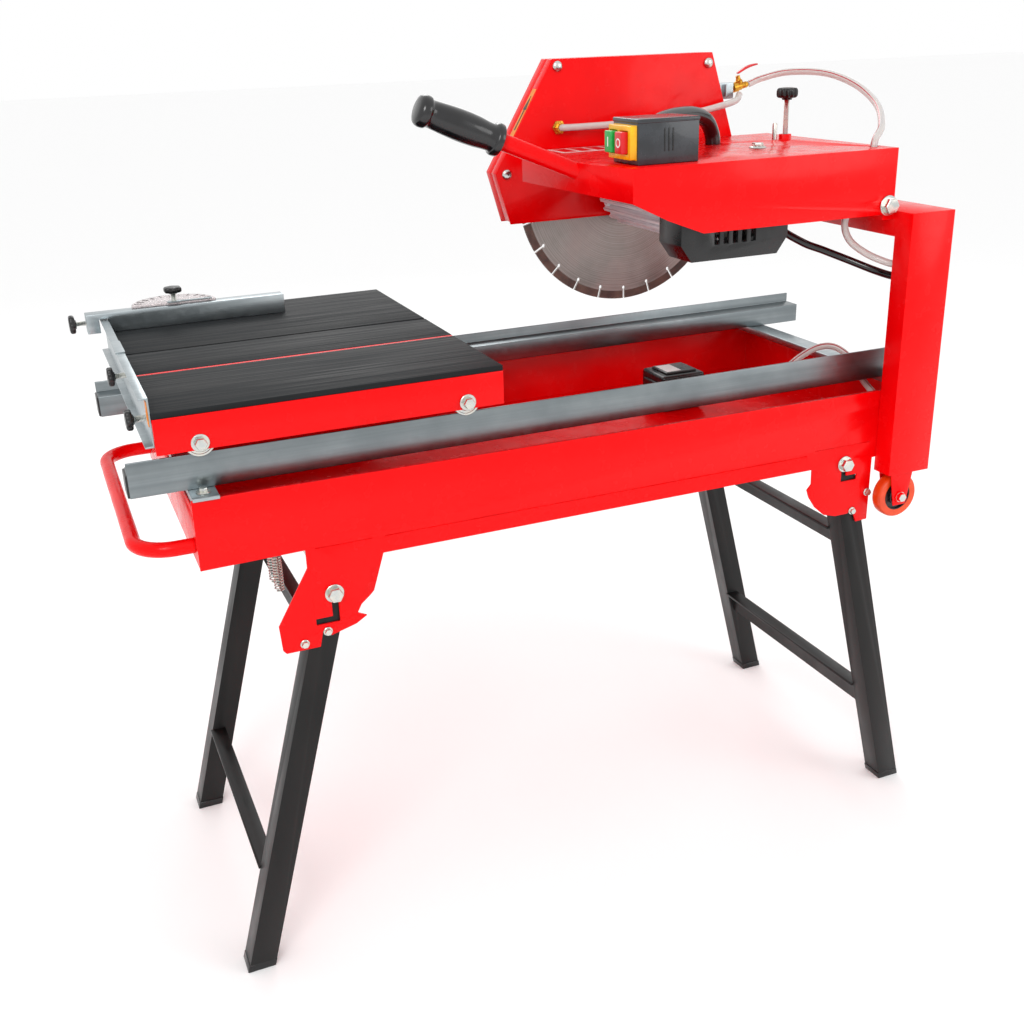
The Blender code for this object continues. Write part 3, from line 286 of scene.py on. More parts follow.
# %% [markdown]
# Metals that are neither sheet nor plated: the motor's extruded aluminium, turned brass and the
# blade. A blade is ground while it spins, so its lines are circles round the arbor. Distance from
# that centre drives the pattern, and a thin film of dried slurry dulls it in clouds.
# %% Bare metals
def bare_metal(name, light, dark, gloss, dull, size_mm=3, flow=(1, 30, 1)):
    made, tree, shader = finish_of(name, Metallic=1.0, Roughness=gloss)
    line = pattern(tree, size_mm, flow, 4).outputs["Fac"]
    tree.links.new(blend_colours(tree, spread(tree, line, 0, 1), linear(dark), linear(light)),
                   shader.inputs["Base Color"])
    tree.links.new(spread(tree, line, gloss, dull), shader.inputs["Roughness"])
    bumped(tree, shader, line, 0.03, 0.3)
    return made


def ground_disc(name, centre, light, dark):
    made, tree, shader = finish_of(name, Metallic=1.0, Roughness=0.35)
    where = add(tree, "ShaderNodeTexCoord").outputs["Object"]
    away = add(tree, "ShaderNodeVectorMath", {0: where, 1: tuple(centre)}, operation="DISTANCE").outputs["Value"]
    rings = add(tree, "ShaderNodeMath", {0: away, 1: 900.0}, operation="MULTIPLY").outputs["Value"]
    ring = add(tree, "ShaderNodeTexNoise", {"W": rings, "Scale": 1.0, "Detail": 5.0}, noise_dimensions="1D")
    cloud = pattern(tree, 60, detail=7).outputs["Fac"]
    both = add(tree, "ShaderNodeMath", {0: ring.outputs["Fac"], 1: cloud}, operation="ADD").outputs["Value"]
    tree.links.new(blend_colours(tree, spread(tree, both, 0, 1, 0.8, 1.25), linear(dark), linear(light)),
                   shader.inputs["Base Color"])
    tree.links.new(spread(tree, cloud, 0.28, 0.5), shader.inputs["Roughness"])
    bumped(tree, shader, ring.outputs["Fac"], 0.03, 0.4)
    return made


# %% [markdown]
# Clear vinyl hose looks milky because of its thick wall, with two coloured stripes run in while it
# is extruded. The piece's own UV map gives the way round, so the stripes follow the hose.
# %% Clear hose and acrylic
def striped_vinyl():
    made, tree, shader = finish_of("striped_vinyl", Roughness=0.16)
    around = add(tree, "ShaderNodeSeparateXYZ", {"Vector": add(tree, "ShaderNodeTexCoord").outputs["UV"]}).outputs["X"]
    ramp = add(tree, "ShaderNodeValToRGB", {"Fac": around})
    ramp.color_ramp.interpolation = "CONSTANT"
    wall, red, blue = linear("#DCD6D2"), linear("#C4323C"), linear("#3A4A8C")
    ramp.color_ramp.elements[0].color = wall
    ramp.color_ramp.elements[1].position, ramp.color_ramp.elements[1].color = 0.16, red
    for place, colour in ((0.21, wall), (0.56, blue), (0.60, wall)):
        ramp.color_ramp.elements.new(place).color = colour
    tree.links.new(ramp.outputs["Color"], shader.inputs["Base Color"])
    cloud = pattern(tree, 30, detail=3).outputs["Fac"]
    tree.links.new(spread(tree, cloud, 0.1, 0.24), shader.inputs["Roughness"])
    shader.inputs["Transmission Weight"].default_value = 0.3
    return made


def frosted_acrylic():
    made, tree, shader = finish_of("frosted_acrylic", Roughness=0.25)
    cloud = pattern(tree, 12, detail=3).outputs["Fac"]
    tree.links.new(blend_colours(tree, cloud, linear("#E9DCDD"), linear("#F2EAEA")), shader.inputs["Base Color"])
    tree.links.new(spread(tree, cloud, 0.18, 0.32), shader.inputs["Roughness"])
    shader.inputs["Transmission Weight"].default_value = 0.5
    return made


BLADE_CENTRE = spot(81, 98.5, 978)
RED, BLACK_COAT, ZINC = red_powder_coat(), black_powder_coat(), galvanised_steel()
RAIL_ZINC = galvanised_steel("rail_zinc", "#8F9698", "#70777A", (60, 1, 1))
BOLT_ZINC, RUBBER = bright_zinc(), ribbed_rubber()
BLACK = moulded("black_nylon", "#0B0B0C", "#151516", 0.22, 0.38)
SOFT_BLACK = moulded("soft_black_vinyl", "#08080A", "#101013", 0.14, 0.3, coat=0.3)
BOX_GREY = moulded("dark_grey_abs", "#23262A", "#2E3237", 0.2, 0.34, coat=0.2)
ORANGE = moulded("orange_polyurethane", "#E8480F", "#D23C0A", 0.22, 0.4)
YELLOW = moulded("yellow_abs", "#F2B705", "#E6A800", 0.24, 0.36)
GREEN = moulded("green_button", "#0B9A3C", "#12A848", 0.2, 0.3)
RED_PLASTIC = moulded("red_button", "#D8121C", "#C80E18", 0.2, 0.3)
WHITE_INK = moulded("white_print", "#F2F2F0", "#E6E6E2", 0.35, 0.5)
LABEL = moulded("label_film", "#D9D4D2", "#CBC4C2", 0.25, 0.4)
LABEL_ORANGE = moulded("orange_film", "#F08A00", "#E07A00", 0.3, 0.45)
ALUMINIUM = bare_metal("extruded_aluminium", "#F2F4F6", "#D4D8DC", 0.26, 0.42)
# Lacquer over the casing takes most of the bare metal's mirror away.
ALUMINIUM.node_tree.nodes["Principled BSDF"].inputs["Metallic"].default_value = 0.1
BRASS = bare_metal("turned_brass", "#D9A441", "#B97F2A", 0.2, 0.34)
BLADE_STEEL = ground_disc("ground_blade_steel", BLADE_CENTRE, "#B2AAA6", "#857C78")
DIAMOND = moulded("sintered_diamond_segment", "#4A3A36", "#6E5A50", 0.55, 0.8, 0.7, 0.3)
HOSE, ACRYLIC = striped_vinyl(), frosted_acrylic()
print(len(bpy.data.materials), "materials")

# %% [markdown]
# Two ways to make a piece. A pressed or welded plate keeps the frame's own shape and gains the
# radius that every bend and cut edge has. Its loose triangles are merged into flat faces first,
# so that the bevel finds the real edges.
# %% Plates with rounded edges
def dress(piece, finish, on, instead=()):
    """Gives the piece its finish, hangs it on a node's body and stands it in for CAD nodes."""
    piece.data.materials.clear()
    piece.data.materials.append(finish)
    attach(piece, BODY[on])
    if instead:
        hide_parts(*instead)
    return piece


def shade(mesh, angle=35):
    mesh.shade_smooth()
    mesh.set_sharp_from_angle(angle=math.radians(angle))


def softened(node, finish, radius_mm, segments=2, angle=28, cutters=()):
    """A copy of a node's mesh, merged, with its sharp edges rounded by radius_mm."""
    mesh = frame["nodes"][node].data.copy()
    built = bmesh.new()
    built.from_mesh(mesh)
    bmesh.ops.remove_doubles(built, verts=built.verts, dist=0.02 * MM)
    bmesh.ops.dissolve_limit(built, angle_limit=math.radians(0.6), verts=built.verts, edges=built.edges)
    built.to_mesh(mesh)
    built.free()
    piece = bpy.data.objects.new(node + "_finished", mesh)
    bpy.context.scene.collection.objects.link(piece)
    for cutter in cutters:
        step = piece.modifiers.new("groove", "BOOLEAN")
        step.operation, step.object = "DIFFERENCE", cutter
    bevel = piece.modifiers.new("rounded", "BEVEL")
    bevel.width, bevel.segments = radius_mm * MM, segments
    bevel.limit_method, bevel.angle_limit = "ANGLE", math.radians(angle)
    bpy.context.view_layer.update()
    piece.data = bpy.data.meshes.new_from_object(piece.evaluated_get(bpy.context.evaluated_depsgraph_get()))
    piece.modifiers.clear()
    for cutter in cutters:
        bpy.data.objects.remove(cutter)
    shade(piece.data)
    return dress(piece, finish, node, (node,))


def groove(low, high):
    """A box that cuts a shallow groove; low and high are its corners."""
    mesh = bpy.data.meshes.new("groove")
    built = bmesh.new()
    bmesh.ops.create_cube(built, size=1)
    bmesh.ops.scale(built, vec=Vector(high - low), verts=built.verts)
    bmesh.ops.translate(built, vec=Vector((low + high) / 2), verts=built.verts)
    built.to_mesh(mesh)
    built.free()
    made = bpy.data.objects.new("groove", mesh)
    bpy.context.scene.collection.objects.link(made)
    return made


PLATES = [("tray_pan", RED, 0.6), ("column", RED, 1.6), ("table_frame", RED, 1.0), ("arm_plate", RED, 1.1),
          ("guard_shell", RED, 0.8), ("guard_cover", RED, 0.8), ("near_rail", RAIL_ZINC, 0.7),
          ("far_rail", RAIL_ZINC, 0.7),
          ("left_cross_bar", ZINC, 0.6), ("right_cross_bar", ZINC, 0.6), ("side_bar", ZINC, 0.5), ("fence", ZINC, 0.6),
          ("left_leg_frame", BLACK_COAT, 1.6), ("right_leg_frame", BLACK_COAT, 1.6), ("fan_cowl", BLACK, 3.0),
          ("near_pad", RUBBER, 0.9), ("middle_pad", RUBBER, 0.9), ("far_pad", RUBBER, 0.9),
          ("angle_gauge", ACRYLIC, 0.5)]
PLATES += [(f"{side}_{end}_foot", BLACK, 1.4) for side in ("left", "right") for end in ("near", "far")]
for node, finish, radius in PLATES:
    softened(node, finish, radius)

# %% [markdown]
# Each side of the tray is one sheet, slit along its fold lines so that the lower strip can step
# out into the ears that carry the legs. The slits show as thin dark lines, so they are cut as real
# grooves, 1.2 mm high and half the sheet deep.
# %% Side plates with their slits
for node, side in (("near_side_plate", -1), ("far_side_plate", 1)):
    face = side * 230
    slits = []
    for left, right, height in ((-520, -446, 617), (-430, 210, 617), (224, 322, 622)):
        low, high = sorted((face - side * 1.4, face + side * 2))
        slits.append(groove(spot(left, low, height - 0.6), spot(right, high, height + 0.6)))
    softened(node, RED, 0.4, cutters=slits)

# %% [markdown]
# Everything that isn't folded sheet is drawn as a surface of its own. A grid of points, rows along
# and columns round, is worked out as one array; neighbouring points give the faces. A turned piece
# swings a profile about an axis, a hose carries a ring along a route, and a moulded box is a sphere
# pulled apart along its three middle planes.
# %% Surfaces from arrays
def quads(rows, cols, wrap, first):
    index = first + np.arange(rows * cols).reshape(rows, cols)
    if wrap:
        index = np.hstack([index, index[:, :1]])
    return np.stack([index[:-1, :-1], index[:-1, 1:], index[1:, 1:], index[1:, :-1]], -1).reshape(-1, 4)


def made_of(name, grids, wrap=True, caps=True):
    """One object from grids of points. UV's U runs round each grid and V along it."""
    faces, uvs, first = [], [], 0
    for grid in grids:
        rows, cols = grid.shape[:2]
        faces += quads(rows, cols, wrap, first).tolist()
        span = cols if wrap else cols - 1
        v, u = np.divmod(np.arange((rows - 1) * span), span)
        around, along = np.stack([u, u + 1, u + 1, u], -1) / span, np.stack([v, v, v + 1, v + 1], -1) / rows
        uvs.append(np.stack([around, along], -1).reshape(-1, 2))
        if caps:
            faces += [list(range(first, first + cols))[::-1],
                      list(range(first + (rows - 1) * cols, first + rows * cols))]
            uvs.append(np.zeros((2 * cols, 2)))
        first += rows * cols
    mesh = bpy.data.meshes.new(name)
    mesh.from_pydata(np.concatenate([grid.reshape(-1, 3) for grid in grids]).tolist(), [], faces)
    mesh.uv_layers.new(name="around").data.foreach_set("uv", np.concatenate(uvs).astype(np.float32).ravel())
    built = bmesh.new()
    built.from_mesh(mesh)
    bmesh.ops.remove_doubles(built, verts=built.verts, dist=0.002 * MM)
    bmesh.ops.recalc_face_normals(built, faces=built.faces)
    built.to_mesh(mesh)
    built.free()
    shade(mesh)
    made = bpy.data.objects.new(name, mesh)
    bpy.context.scene.collection.objects.link(made)
    return made


def unit(vector):
    vector = np.asarray(vector, float)
    return vector / np.linalg.norm(vector, axis=-1, keepdims=True)


def turned(profile, base, axis, steps=48, shape=None):
    """Radius and height in mm, swung about an axis from base: base + h*axis + r*(cos a, sin a)."""
    axis = unit(axis)
    helper = np.array([0, 0, 1.0]) if abs(axis[2]) < 0.9 else np.array([1.0, 0, 0])
    side = unit(np.cross(helper, axis))
    top = np.cross(axis, side)
    angle = np.linspace(0, 2 * np.pi, steps, endpoint=False)
    profile = np.asarray(profile, float)
    radius = profile[:, :1] * np.ones(steps)
    if shape:
        radius = shape(radius, angle, profile[:, 1:])
    ring = np.cos(angle)[:, None] * side + np.sin(angle)[:, None] * top
    return base + (radius[..., None] * ring + profile[:, 1][:, None, None] * axis) * MM


def hexagonal(radius, angle, height):
    """Turns a round row into a hexagon whose flats touch that radius, but never past a chamfer."""
    corner = 1 / np.cos((angle % (np.pi / 3)) - np.pi / 6)
    return radius * np.where(radius > 2, np.minimum(corner, 1.155), 1)


def carried(section, path, size=None, first_side=None):
    """A section of (across, up) mm carried along a path without twisting; size scales each place."""
    path, section = np.asarray(path, float), np.asarray(section, float)
    way = unit(np.gradient(path, axis=0))
    side = np.zeros_like(path)
    guess = np.array([0.13, 0.31, 0.94]) if first_side is None else np.asarray(first_side, float)
    for i, tangent in enumerate(way):
        guess = unit(guess - tangent * (guess @ tangent))
        side[i] = guess
    top = np.cross(way, side)
    size = np.ones(len(path)) if size is None else np.asarray(size, float)
    flat = section[None, :, :, None] * size[:, None, None, None] * MM
    return path[:, None] + flat[:, :, 0] * side[:, None] + flat[:, :, 1] * top[:, None]


def ring(radius, steps=20):
    angle = np.linspace(0, 2 * np.pi, steps, endpoint=False)
    return np.stack([radius * np.cos(angle), radius * np.sin(angle)], -1)


def smooth_route(points, each=8):
    """Catmull-Rom: every stretch is a cubic set by its two ends and the points beyond them."""
    p = np.array([spot(*point) for point in points])
    p = np.vstack([2 * p[0] - p[1], p, 2 * p[-1] - p[-2]])
    t = np.linspace(0, 1, each, endpoint=False)[None, :, None]
    a, b, c, d = (p[i:len(p) - 3 + i, None] for i in range(4))
    curve = 0.5 * (2 * b + (c - a) * t + (2 * a - 5 * b + 4 * c - d) * t ** 2 + (3 * b - a - 3 * c + d) * t ** 3)
    return np.vstack([curve.reshape(-1, 3), p[-2]])


def moulded_box(low, high, radius, steps=5):
    """Sphere points, each moved out by its octant's sign: centre + sign*(half - r) + r*direction."""
    low, high = np.asarray(low, float), np.asarray(high, float)
    half, centre = (high - low) / 2, (high + low) / 2
    turn = np.concatenate([np.linspace(q, q + 1, steps) for q in range(4)]) * np.pi / 2
    lift = np.concatenate([np.linspace(-1, 0, steps), np.linspace(0, 1, steps)]) * np.pi / 2
    sign_x, sign_y = (np.repeat(signs, steps) for signs in ((1, -1, -1, 1), (1, 1, -1, -1)))
    sign_z = np.repeat((-1, 1), steps)
    shape = (len(lift), len(turn))
    away = np.stack([np.outer(np.cos(lift), np.cos(turn)), np.outer(np.cos(lift), np.sin(turn)),
                     np.outer(np.sin(lift), np.ones(len(turn)))], -1)
    sign = np.stack([np.broadcast_to(sign_x, shape), np.broadcast_to(sign_y, shape),
                     np.broadcast_to(sign_z[:, None], shape)], -1)
    return ZERO + (centre + sign * (half - radius) + radius * away) * MM


def boxes(name, finish, on, corners, radius, instead=()):
    grids = [moulded_box(low, high, radius) for low, high in corners]
    return dress(made_of(name, grids), finish, on, instead)


# %% [markdown]
# A hexagon bolt is a washer with rolled edges and a head whose corners are chamfered by a cone.
# Heads and washers that sit on one body are made together, because they never move apart.
# %% Bolts
def bolt_grids(point, axis, flats, high=6.0, washer=None):
    """Washer first, then the head standing on it; flats is half the width across the flats."""
    washer = washer or flats * 1.7
    disc = [(0, 0), (washer - 0.5, 0), (washer, 0.4), (washer, 1.4), (washer - 0.6, 1.9), (0, 1.9)]
    head = [(0, 1.8), (flats, 1.8), (flats, high - 0.8), (flats * 0.93, high), (flats * 0.55, high + 0.15), (0, high)]
    return [turned(disc, spot(*point), axis, 36), turned(head, spot(*point), axis, 48, hexagonal)]


def dome_grids(point, axis, radius, high):
    angle = np.linspace(0, np.pi / 2, 7)
    dome = [(0, 0), *zip(radius * np.cos(angle), 0.8 + (high - 0.8) * np.sin(angle))]
    return [turned(dome, spot(*point), axis, 32)]


NEAR, FAR, UP, LEFT = (0, -1, 0), (0, 1, 0), (0, 0, 1), (-1, 0, 0)
frame_bolts = []
for x, z, flats in ((-545, 490, 4.0), (-514, 501, 4.0), (298, 516, 4.0), (323, 542, 4.5)):
    for face, way in ((-230, NEAR), (230, FAR)):
        frame_bolts += bolt_grids((x, face, z), way, flats, 5.5, 6.0)
for x in (-642, 382):
    for y in (-213, 213):
        frame_bolts += bolt_grids((x, y, 707.8), UP, 4.5, 6.0, 9.0)
dress(made_of("bracket_bolts", frame_bolts), BOLT_ZINC, "near_side_plate")

for node, (x, z), radius, flats, near_end, far_end in (
        ("left_pivot_rod", (-501, 552), 4.4, 8.5, -230.2, 230.2),
        ("right_pivot_rod", (278.5, 594), 4.4, 8.5, -230.2, 230.2),
        ("arm_hinge_bolt", (320, 964), 7.0, 9.5, -227.2, 80.0)):
    shank = turned([(0, 0), (radius, 0), (radius, far_end - near_end), (0, far_end - near_end)],
                   spot(x, near_end, z), FAR, 24)
    grids = [shank, *bolt_grids((x, near_end, z), NEAR, flats, 11, flats * 1.45)]
    if node != "arm_hinge_bolt":
        grids += bolt_grids((x, far_end, z), FAR, flats, 9, flats * 1.45)
    dress(made_of(node + "_finished", grids), BOLT_ZINC, node, (node,))

roller_bolts = []
for x in (-637, -301):
    for face, way in ((-205.7, NEAR), (205.7, FAR)):
        roller_bolts += bolt_grids((x, face, 766.8), way, 6.5, 8.5, 11.0)
dress(made_of("roller_bolts", roller_bolts), BOLT_ZINC, "table_frame")
guard_bolts = [g for x, z in ((-33, 1153), (219, 1148), (-117, 1008))
               for g in dome_grids((x, 85.9, z), NEAR, 7.5, 4.5)]
dress(made_of("guard_bolts", guard_bolts), BOLT_ZINC, "guard_shell")
plate_bolts = dome_grids((184, -107, 1040), UP, 12, 4) + bolt_grids((184, -107, 1043), UP, 7, 4, 8)
plate_bolts += [turned([(0, 0), (3.5, 0), (3.5, 22), (2.6, 24), (0, 24)], spot(270, -22, 1040), UP, 24)]
dress(made_of("plate_bolts", plate_bolts), BOLT_ZINC, "arm_plate")
print("fasteners made")

# %% [markdown]
# The carriage rolls on grooved steel wheels that straddle each rail's lip. Each is one turning with
# a groove between two flanges, so its profile says everything.
# %% Rollers
ROLLER = [(4.3, 4.5), (12, 4.5), (12.6, 3.9), (15.2, 3.9), (15.8, 4.5), (18, 4.5), (18.5, 4), (18.5, 3.1),
          (14.7, 2.1), (14.5, 1.6), (14.5, -1.6), (14.7, -2.1), (18.5, -3.1), (18.5, -4), (18, -4.5), (15.8, -4.5),
          (15.2, -3.9), (12.6, -3.9), (12, -4.5), (4.3, -4.5), (4.3, 4.5)]
for end, y in (("near", -196.25), ("far", 196.25)):
    for hand, x in (("left", -637), ("right", -301)):
        node = f"{end}_{hand}_roller"
        grid = turned(ROLLER, spot(x, y, 766.8), FAR, 64)
        dress(made_of(node + "_finished", [grid], caps=False), BOLT_ZINC, node, (node,))

# %% [markdown]
# Transport wheels are a black nylon hub with an orange polyurethane tread cast round it.
# %% Wheels
TREAD = [(22.5, -8.5), (29, -9.4), (32, -9), (33.6, -7), (34, -4), (34, 4), (33.6, 7), (32, 9), (29, 9.4), (22.5, 8.5),
         (22.5, -8.5)]
HUB = [(8, -9), (9, -10), (13, -10), (14, -9), (14.5, -6), (20.5, -5.5), (21.2, -8), (22.6, -8.4), (22.6, 8.4),
       (21.2, 8), (20.5, 5.5), (14.5, 6), (14, 9), (13, 10), (9, 10), (8, 9), (8, -9)]
for node, y in (("near_wheel", -245), ("far_wheel", 245)):
    centre = spot(362, y, 537)
    dress(made_of(node + "_tread", [turned(TREAD, centre, FAR, 72)], caps=False), ORANGE, node, (node,))
    dress(made_of(node + "_hub", [turned(HUB, centre, FAR, 64)], caps=False), BLACK, node)
    face = y - 14.2 if y < 0 else y + 14.2
    dress(made_of(node + "_bolt", bolt_grids((362, face, 537), NEAR if y < 0 else FAR, 6.0, 7.0, 8.5)), BOLT_ZINC,
          "near_side_plate")

# %% [markdown]
# A clamp knob is a lobed head: its radius swells and dips round the rim, most at mid height and
# little at the rounded edges, and the crown is slightly domed. It grips a steel stud.
# %% Lobed knobs
def lobed_grid(base, axis, radius, stem, thick, lobes, dip=0.16):
    def lobe(rows, angle, height):
        strength = np.clip(rows / radius, 0, 1) ** 3 * dip
        return rows * (1 - strength * (0.5 - 0.5 * np.cos(lobes * angle)))

    rim = [(0, stem), (radius * 0.45, stem), (radius * 0.5, stem + thick * 0.12), (radius * 0.86, stem + thick * 0.18),
           (radius * 0.97, stem + thick * 0.3), (radius, stem + thick * 0.45), (radius, stem + thick * 0.7),
           (radius * 0.95, stem + thick * 0.86), (radius * 0.84, stem + thick * 0.96), (radius * 0.5, stem + thick),
           (0, stem + thick)]
    return turned(rim, spot(*base), axis, lobes * 16, lobe)


def threaded(base, axis, radius, start, end, pitch=1.5):
    """Rings that rise and fall with the thread's pitch."""
    height = np.arange(start, end, pitch / 2)
    wave = np.where(np.arange(len(height)) % 2, radius - 0.45, radius)
    return turned([(0, start), *zip(wave, height), (0, end)], spot(*base), axis, 20)


def knob(node, base, axis, radius, stem, thick, stud, lobes=6):
    dress(made_of(node + "_head", [lobed_grid(base, axis, radius, stem, thick, lobes)]), BLACK, node, (node,))
    dress(made_of(node + "_stud", [threaded(base, axis, stud, 0, stem + 1)]), BOLT_ZINC, node)


knob("side_bar_near_knob", (-690.3, -168, 795), LEFT, 13, 14, 10, 4)
knob("side_bar_far_knob", (-690.3, 44, 795), LEFT, 13, 14, 10, 4)
knob("fence_clamp_knob", (-700.9, 262, 824), LEFT, 14, 32, 10, 3.5)
knob("guard_upper_knob", (-28, 124.3, 1152), FAR, 11, 5, 8, 4)
knob("guard_lower_knob", (-118, 124.3, 1008), FAR, 11, 5, 8, 4)
knob("depth_screw", (286, -26, 1000.3), UP, 15.5, 95.7, 17, 4, 12)
knob("gauge_pointer", (-590, 262, 842), UP, 14, 12, 10, 4)
needle = [((-600, 257, 840.9), (-580, 267, 842.9)), ((-584, 259.6, 841.0), (-534, 264.4, 842.8))]
boxes("gauge_needle", ZINC, "gauge_pointer", needle, 0.7)
angle = np.radians(np.arange(15, 166, 15))
ticks = [carried([(-0.4, -0.15), (0.4, -0.15), (0.4, 0.15), (-0.4, 0.15)],
                 [spot(-590 + r * np.cos(a), 262 + r * np.sin(a), 840.7) for r in (48, 54, 59)],
                 first_side=(0.1, 0.1, 1))
         for a in angle]
dress(made_of("gauge_ticks", ticks), BLACK, "angle_gauge")

# %% [markdown]
# The arm's handle ends in a soft vinyl grip, dipped thick: a flange at each end stops the hand,
# and between them it swells a little. The start of the curve hides the steel tube's end.
# %% Grip
HANDLE_WAY = unit((-0.925, 0, 0.38))
GRIP = [(0, 113), (11.2, 113), (11.8, 112), (18, 112), (20.4, 113), (21, 115), (21, 119.5), (20.2, 121.5), (18, 123),
        (17, 126), (17.6, 134), (18.9, 146), (19.5, 160), (19.3, 174), (18.4, 190), (17.2, 205), (16.9, 211),
        (17.8, 213.5), (19.5, 215), (20, 217), (20, 222), (19.2, 225), (17, 228), (12, 229.7), (0, 230)]
dress(made_of("handle_grip_finished", [turned(GRIP, spot(-103, -110, 1031), HANDLE_WAY, 72)]), SOFT_BLACK,
      "handle_grip", ("handle_grip",))

# %% [markdown]
# The motor's casing is extruded aluminium with cooling fins. Seen from its end, its radius jumps
# between root and tip: the cosine of many turns, clipped, gives flat tops with short flanks.
# %% Motor
FINS, FIN_ROOT, FIN_TIP = 22, 44.0, 56.0


def finned(radius, angle, height):
    pulse = np.clip((np.cos(FINS * angle) - 0.25) / 0.35, 0, 1)
    return np.where(radius > FIN_ROOT, FIN_ROOT + (radius - FIN_ROOT) * pulse, radius)


casing = [(10, 0), (FIN_ROOT, 0), (FIN_TIP - 1, 0.2), (FIN_TIP, 1.2), (FIN_TIP, 230), (FIN_TIP - 1, 231.2),
          (FIN_ROOT, 231.5),
          (10, 231.5)]
motor = made_of("motor_housing_finished", [turned(casing, spot(81, -159.7, 978), FAR, FINS * 14, finned)])
dress(motor, ALUMINIUM, "motor_housing", ("motor_housing",))
bell = [(0, 0), (49, 0), (50.5, 1), (50.5, 11), (49, 12), (0, 12)]
dress(made_of("motor_bell", [turned(bell, spot(81, 62, 978), FAR, 64)]), ALUMINIUM, "motor_housing")

# %% [markdown]
# A segmented diamond blade: a hardened disc with a keyhole at the root of each slot, which stops
# cracks, and a sintered segment welded on between every two slots, a little thicker than the disc.
# %% Blade
SEGMENTS, BLADE_RADIUS = 24, 175.0
STEP = 2 * np.pi / SEGMENTS
keyholes = []
for i in range(SEGMENTS):
    a = (i + 0.03) * STEP
    middle = BLADE_CENTRE + np.array([np.cos(a), 0, np.sin(a)]) * 158 * MM
    keyholes.append(turned([(0, -4), (2.6, -4), (2.6, 4), (0, 4)], middle, FAR, 16))
softened("blade", BLADE_STEEL, 0.15, 1, cutters=[made_of("keyholes", keyholes)])
span = np.linspace(0.075, 0.985, 10)
section = np.array([(163.0, -1.65), (174.4, -1.65), (BLADE_RADIUS, -1.2), (BLADE_RADIUS, 1.2), (174.4, 1.65),
                    (163.0, 1.65)])
segments = []
for i in range(SEGMENTS):
    a = (i + span[:, None]) * STEP
    r = section[None, :, 0]
    segments.append(BLADE_CENTRE + np.stack([r * np.cos(a), np.broadcast_to(section[:, 1], (10, 6)),
                                             r * np.sin(a)], -1) * MM)
dress(made_of("blade_segments", segments), DIAMOND, "blade")
softened("outer_flange", BOLT_ZINC, 0.6)
softened("motor_shaft", BOLT_ZINC, 0.4)

# %% [markdown]
# The switch is a grey moulded box. Its yellow surround holds a green and a red button with the two
# marks that every machine switch has, a bar and a ring, printed in white.
# %% Switch
switch = softened("switch_box", BOX_GREY, 1.6, 3)
switch.data.materials.append(YELLOW)
middles = np.zeros(len(switch.data.polygons) * 3, np.float32)
switch.data.polygons.foreach_get("center", middles)
face_of_box = spot(-58.3, 0, 0)[0]
switch.data.polygons.foreach_set("material_index", (middles.reshape(-1, 3)[:, 0] < face_of_box).astype(np.int32))
boxes("switch_lid", BOX_GREY, "switch_box", [((-59, -205, 1090.5), (31, -136, 1096))], 1.8)
# Painted shade: three black strips sit where the switch box's vent slots are and stand for the shade inside them; the
# slots are not cut.
slot_shade = [((x - 1.1, -204.5, 1056), (x + 1.1, -203.4, 1084)) for x in (-20, -14, -8)]
boxes("switch_slot_shade", BLACK, "switch_box", slot_shade, 0.4)
for node, y, finish in (("start_button", -154, GREEN), ("stop_button", -182, RED_PLASTIC)):
    boxes(node + "_finished", finish, node, [((-75, y - 10, 1054), (-65, y + 10, 1081))], 1.8, (node,))
boxes("start_mark", WHITE_INK, "start_button", [((-75.25, -155, 1061.5), (-74.8, -153, 1073.5))], 0.15)
mark = [(4.2, -0.2), (5.8, -0.2), (5.8, 0.25), (4.2, 0.25), (4.2, -0.2)]
dress(made_of("stop_mark", [turned(mark, spot(-75, -182, 1067.5), LEFT, 40)], caps=False), WHITE_INK, "stop_button")

# %% [markdown]
# Hoses and cables are held at both ends. Each is one ring carried along its route. Those that
# cross the arm's hinge run from the arm to the frame and are fixed in place.
# %% Hoses, conduit and cables
def tubing(node, radius, points, steps=20, each=8):
    return made_of(node + "_finished", [carried(ring(radius, steps), smooth_route(points, each))])


dress(tubing("switch_conduit", 11, [
    (8, -136.4, 1070), (9, -124, 1071), (18, -106, 1077), (42, -86, 1084), (80, -62, 1087), (120, -38, 1085),
    (150, -23, 1075), (165, -15, 1058), (169, -14, 1042), (169, -14, 1030)], 28), SOFT_BLACK, "switch_conduit",
    ("switch_conduit",))
dress(tubing("guard_hose", 5, [
    (277, 87, 1100), (262, 74, 1092), (225, 62, 1086), (180, 56, 1080), (120, 60, 1074), (50, 66, 1070), (4, 71, 1069),
    (-18, 71, 1069), (-31, 75, 1069), (-33, 85.2, 1069)]), HOSE, "guard_hose", ("guard_hose",))
dress(tubing("pump_hose", 5, [
    (174, 25, 650), (174, 8, 650), (180, -22, 652), (198, -50, 660), (226, -72, 676), (256, -88, 700), (284, -97, 724),
    (310, -105, 738), (330, -117, 740), (345, -134, 728), (353, -150, 706), (356, -166, 691), (357, -190, 679),
    (356.5, -212, 673), (356, -233, 670)]), HOSE, "pump_hose", ("pump_hose",))


def bridging(piece, finish, node):
    """A hose from the arm to the frame: gives it its finish, fixes it in place and hides its node."""
    piece.data.materials.append(finish)
    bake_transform(piece)
    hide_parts(node)


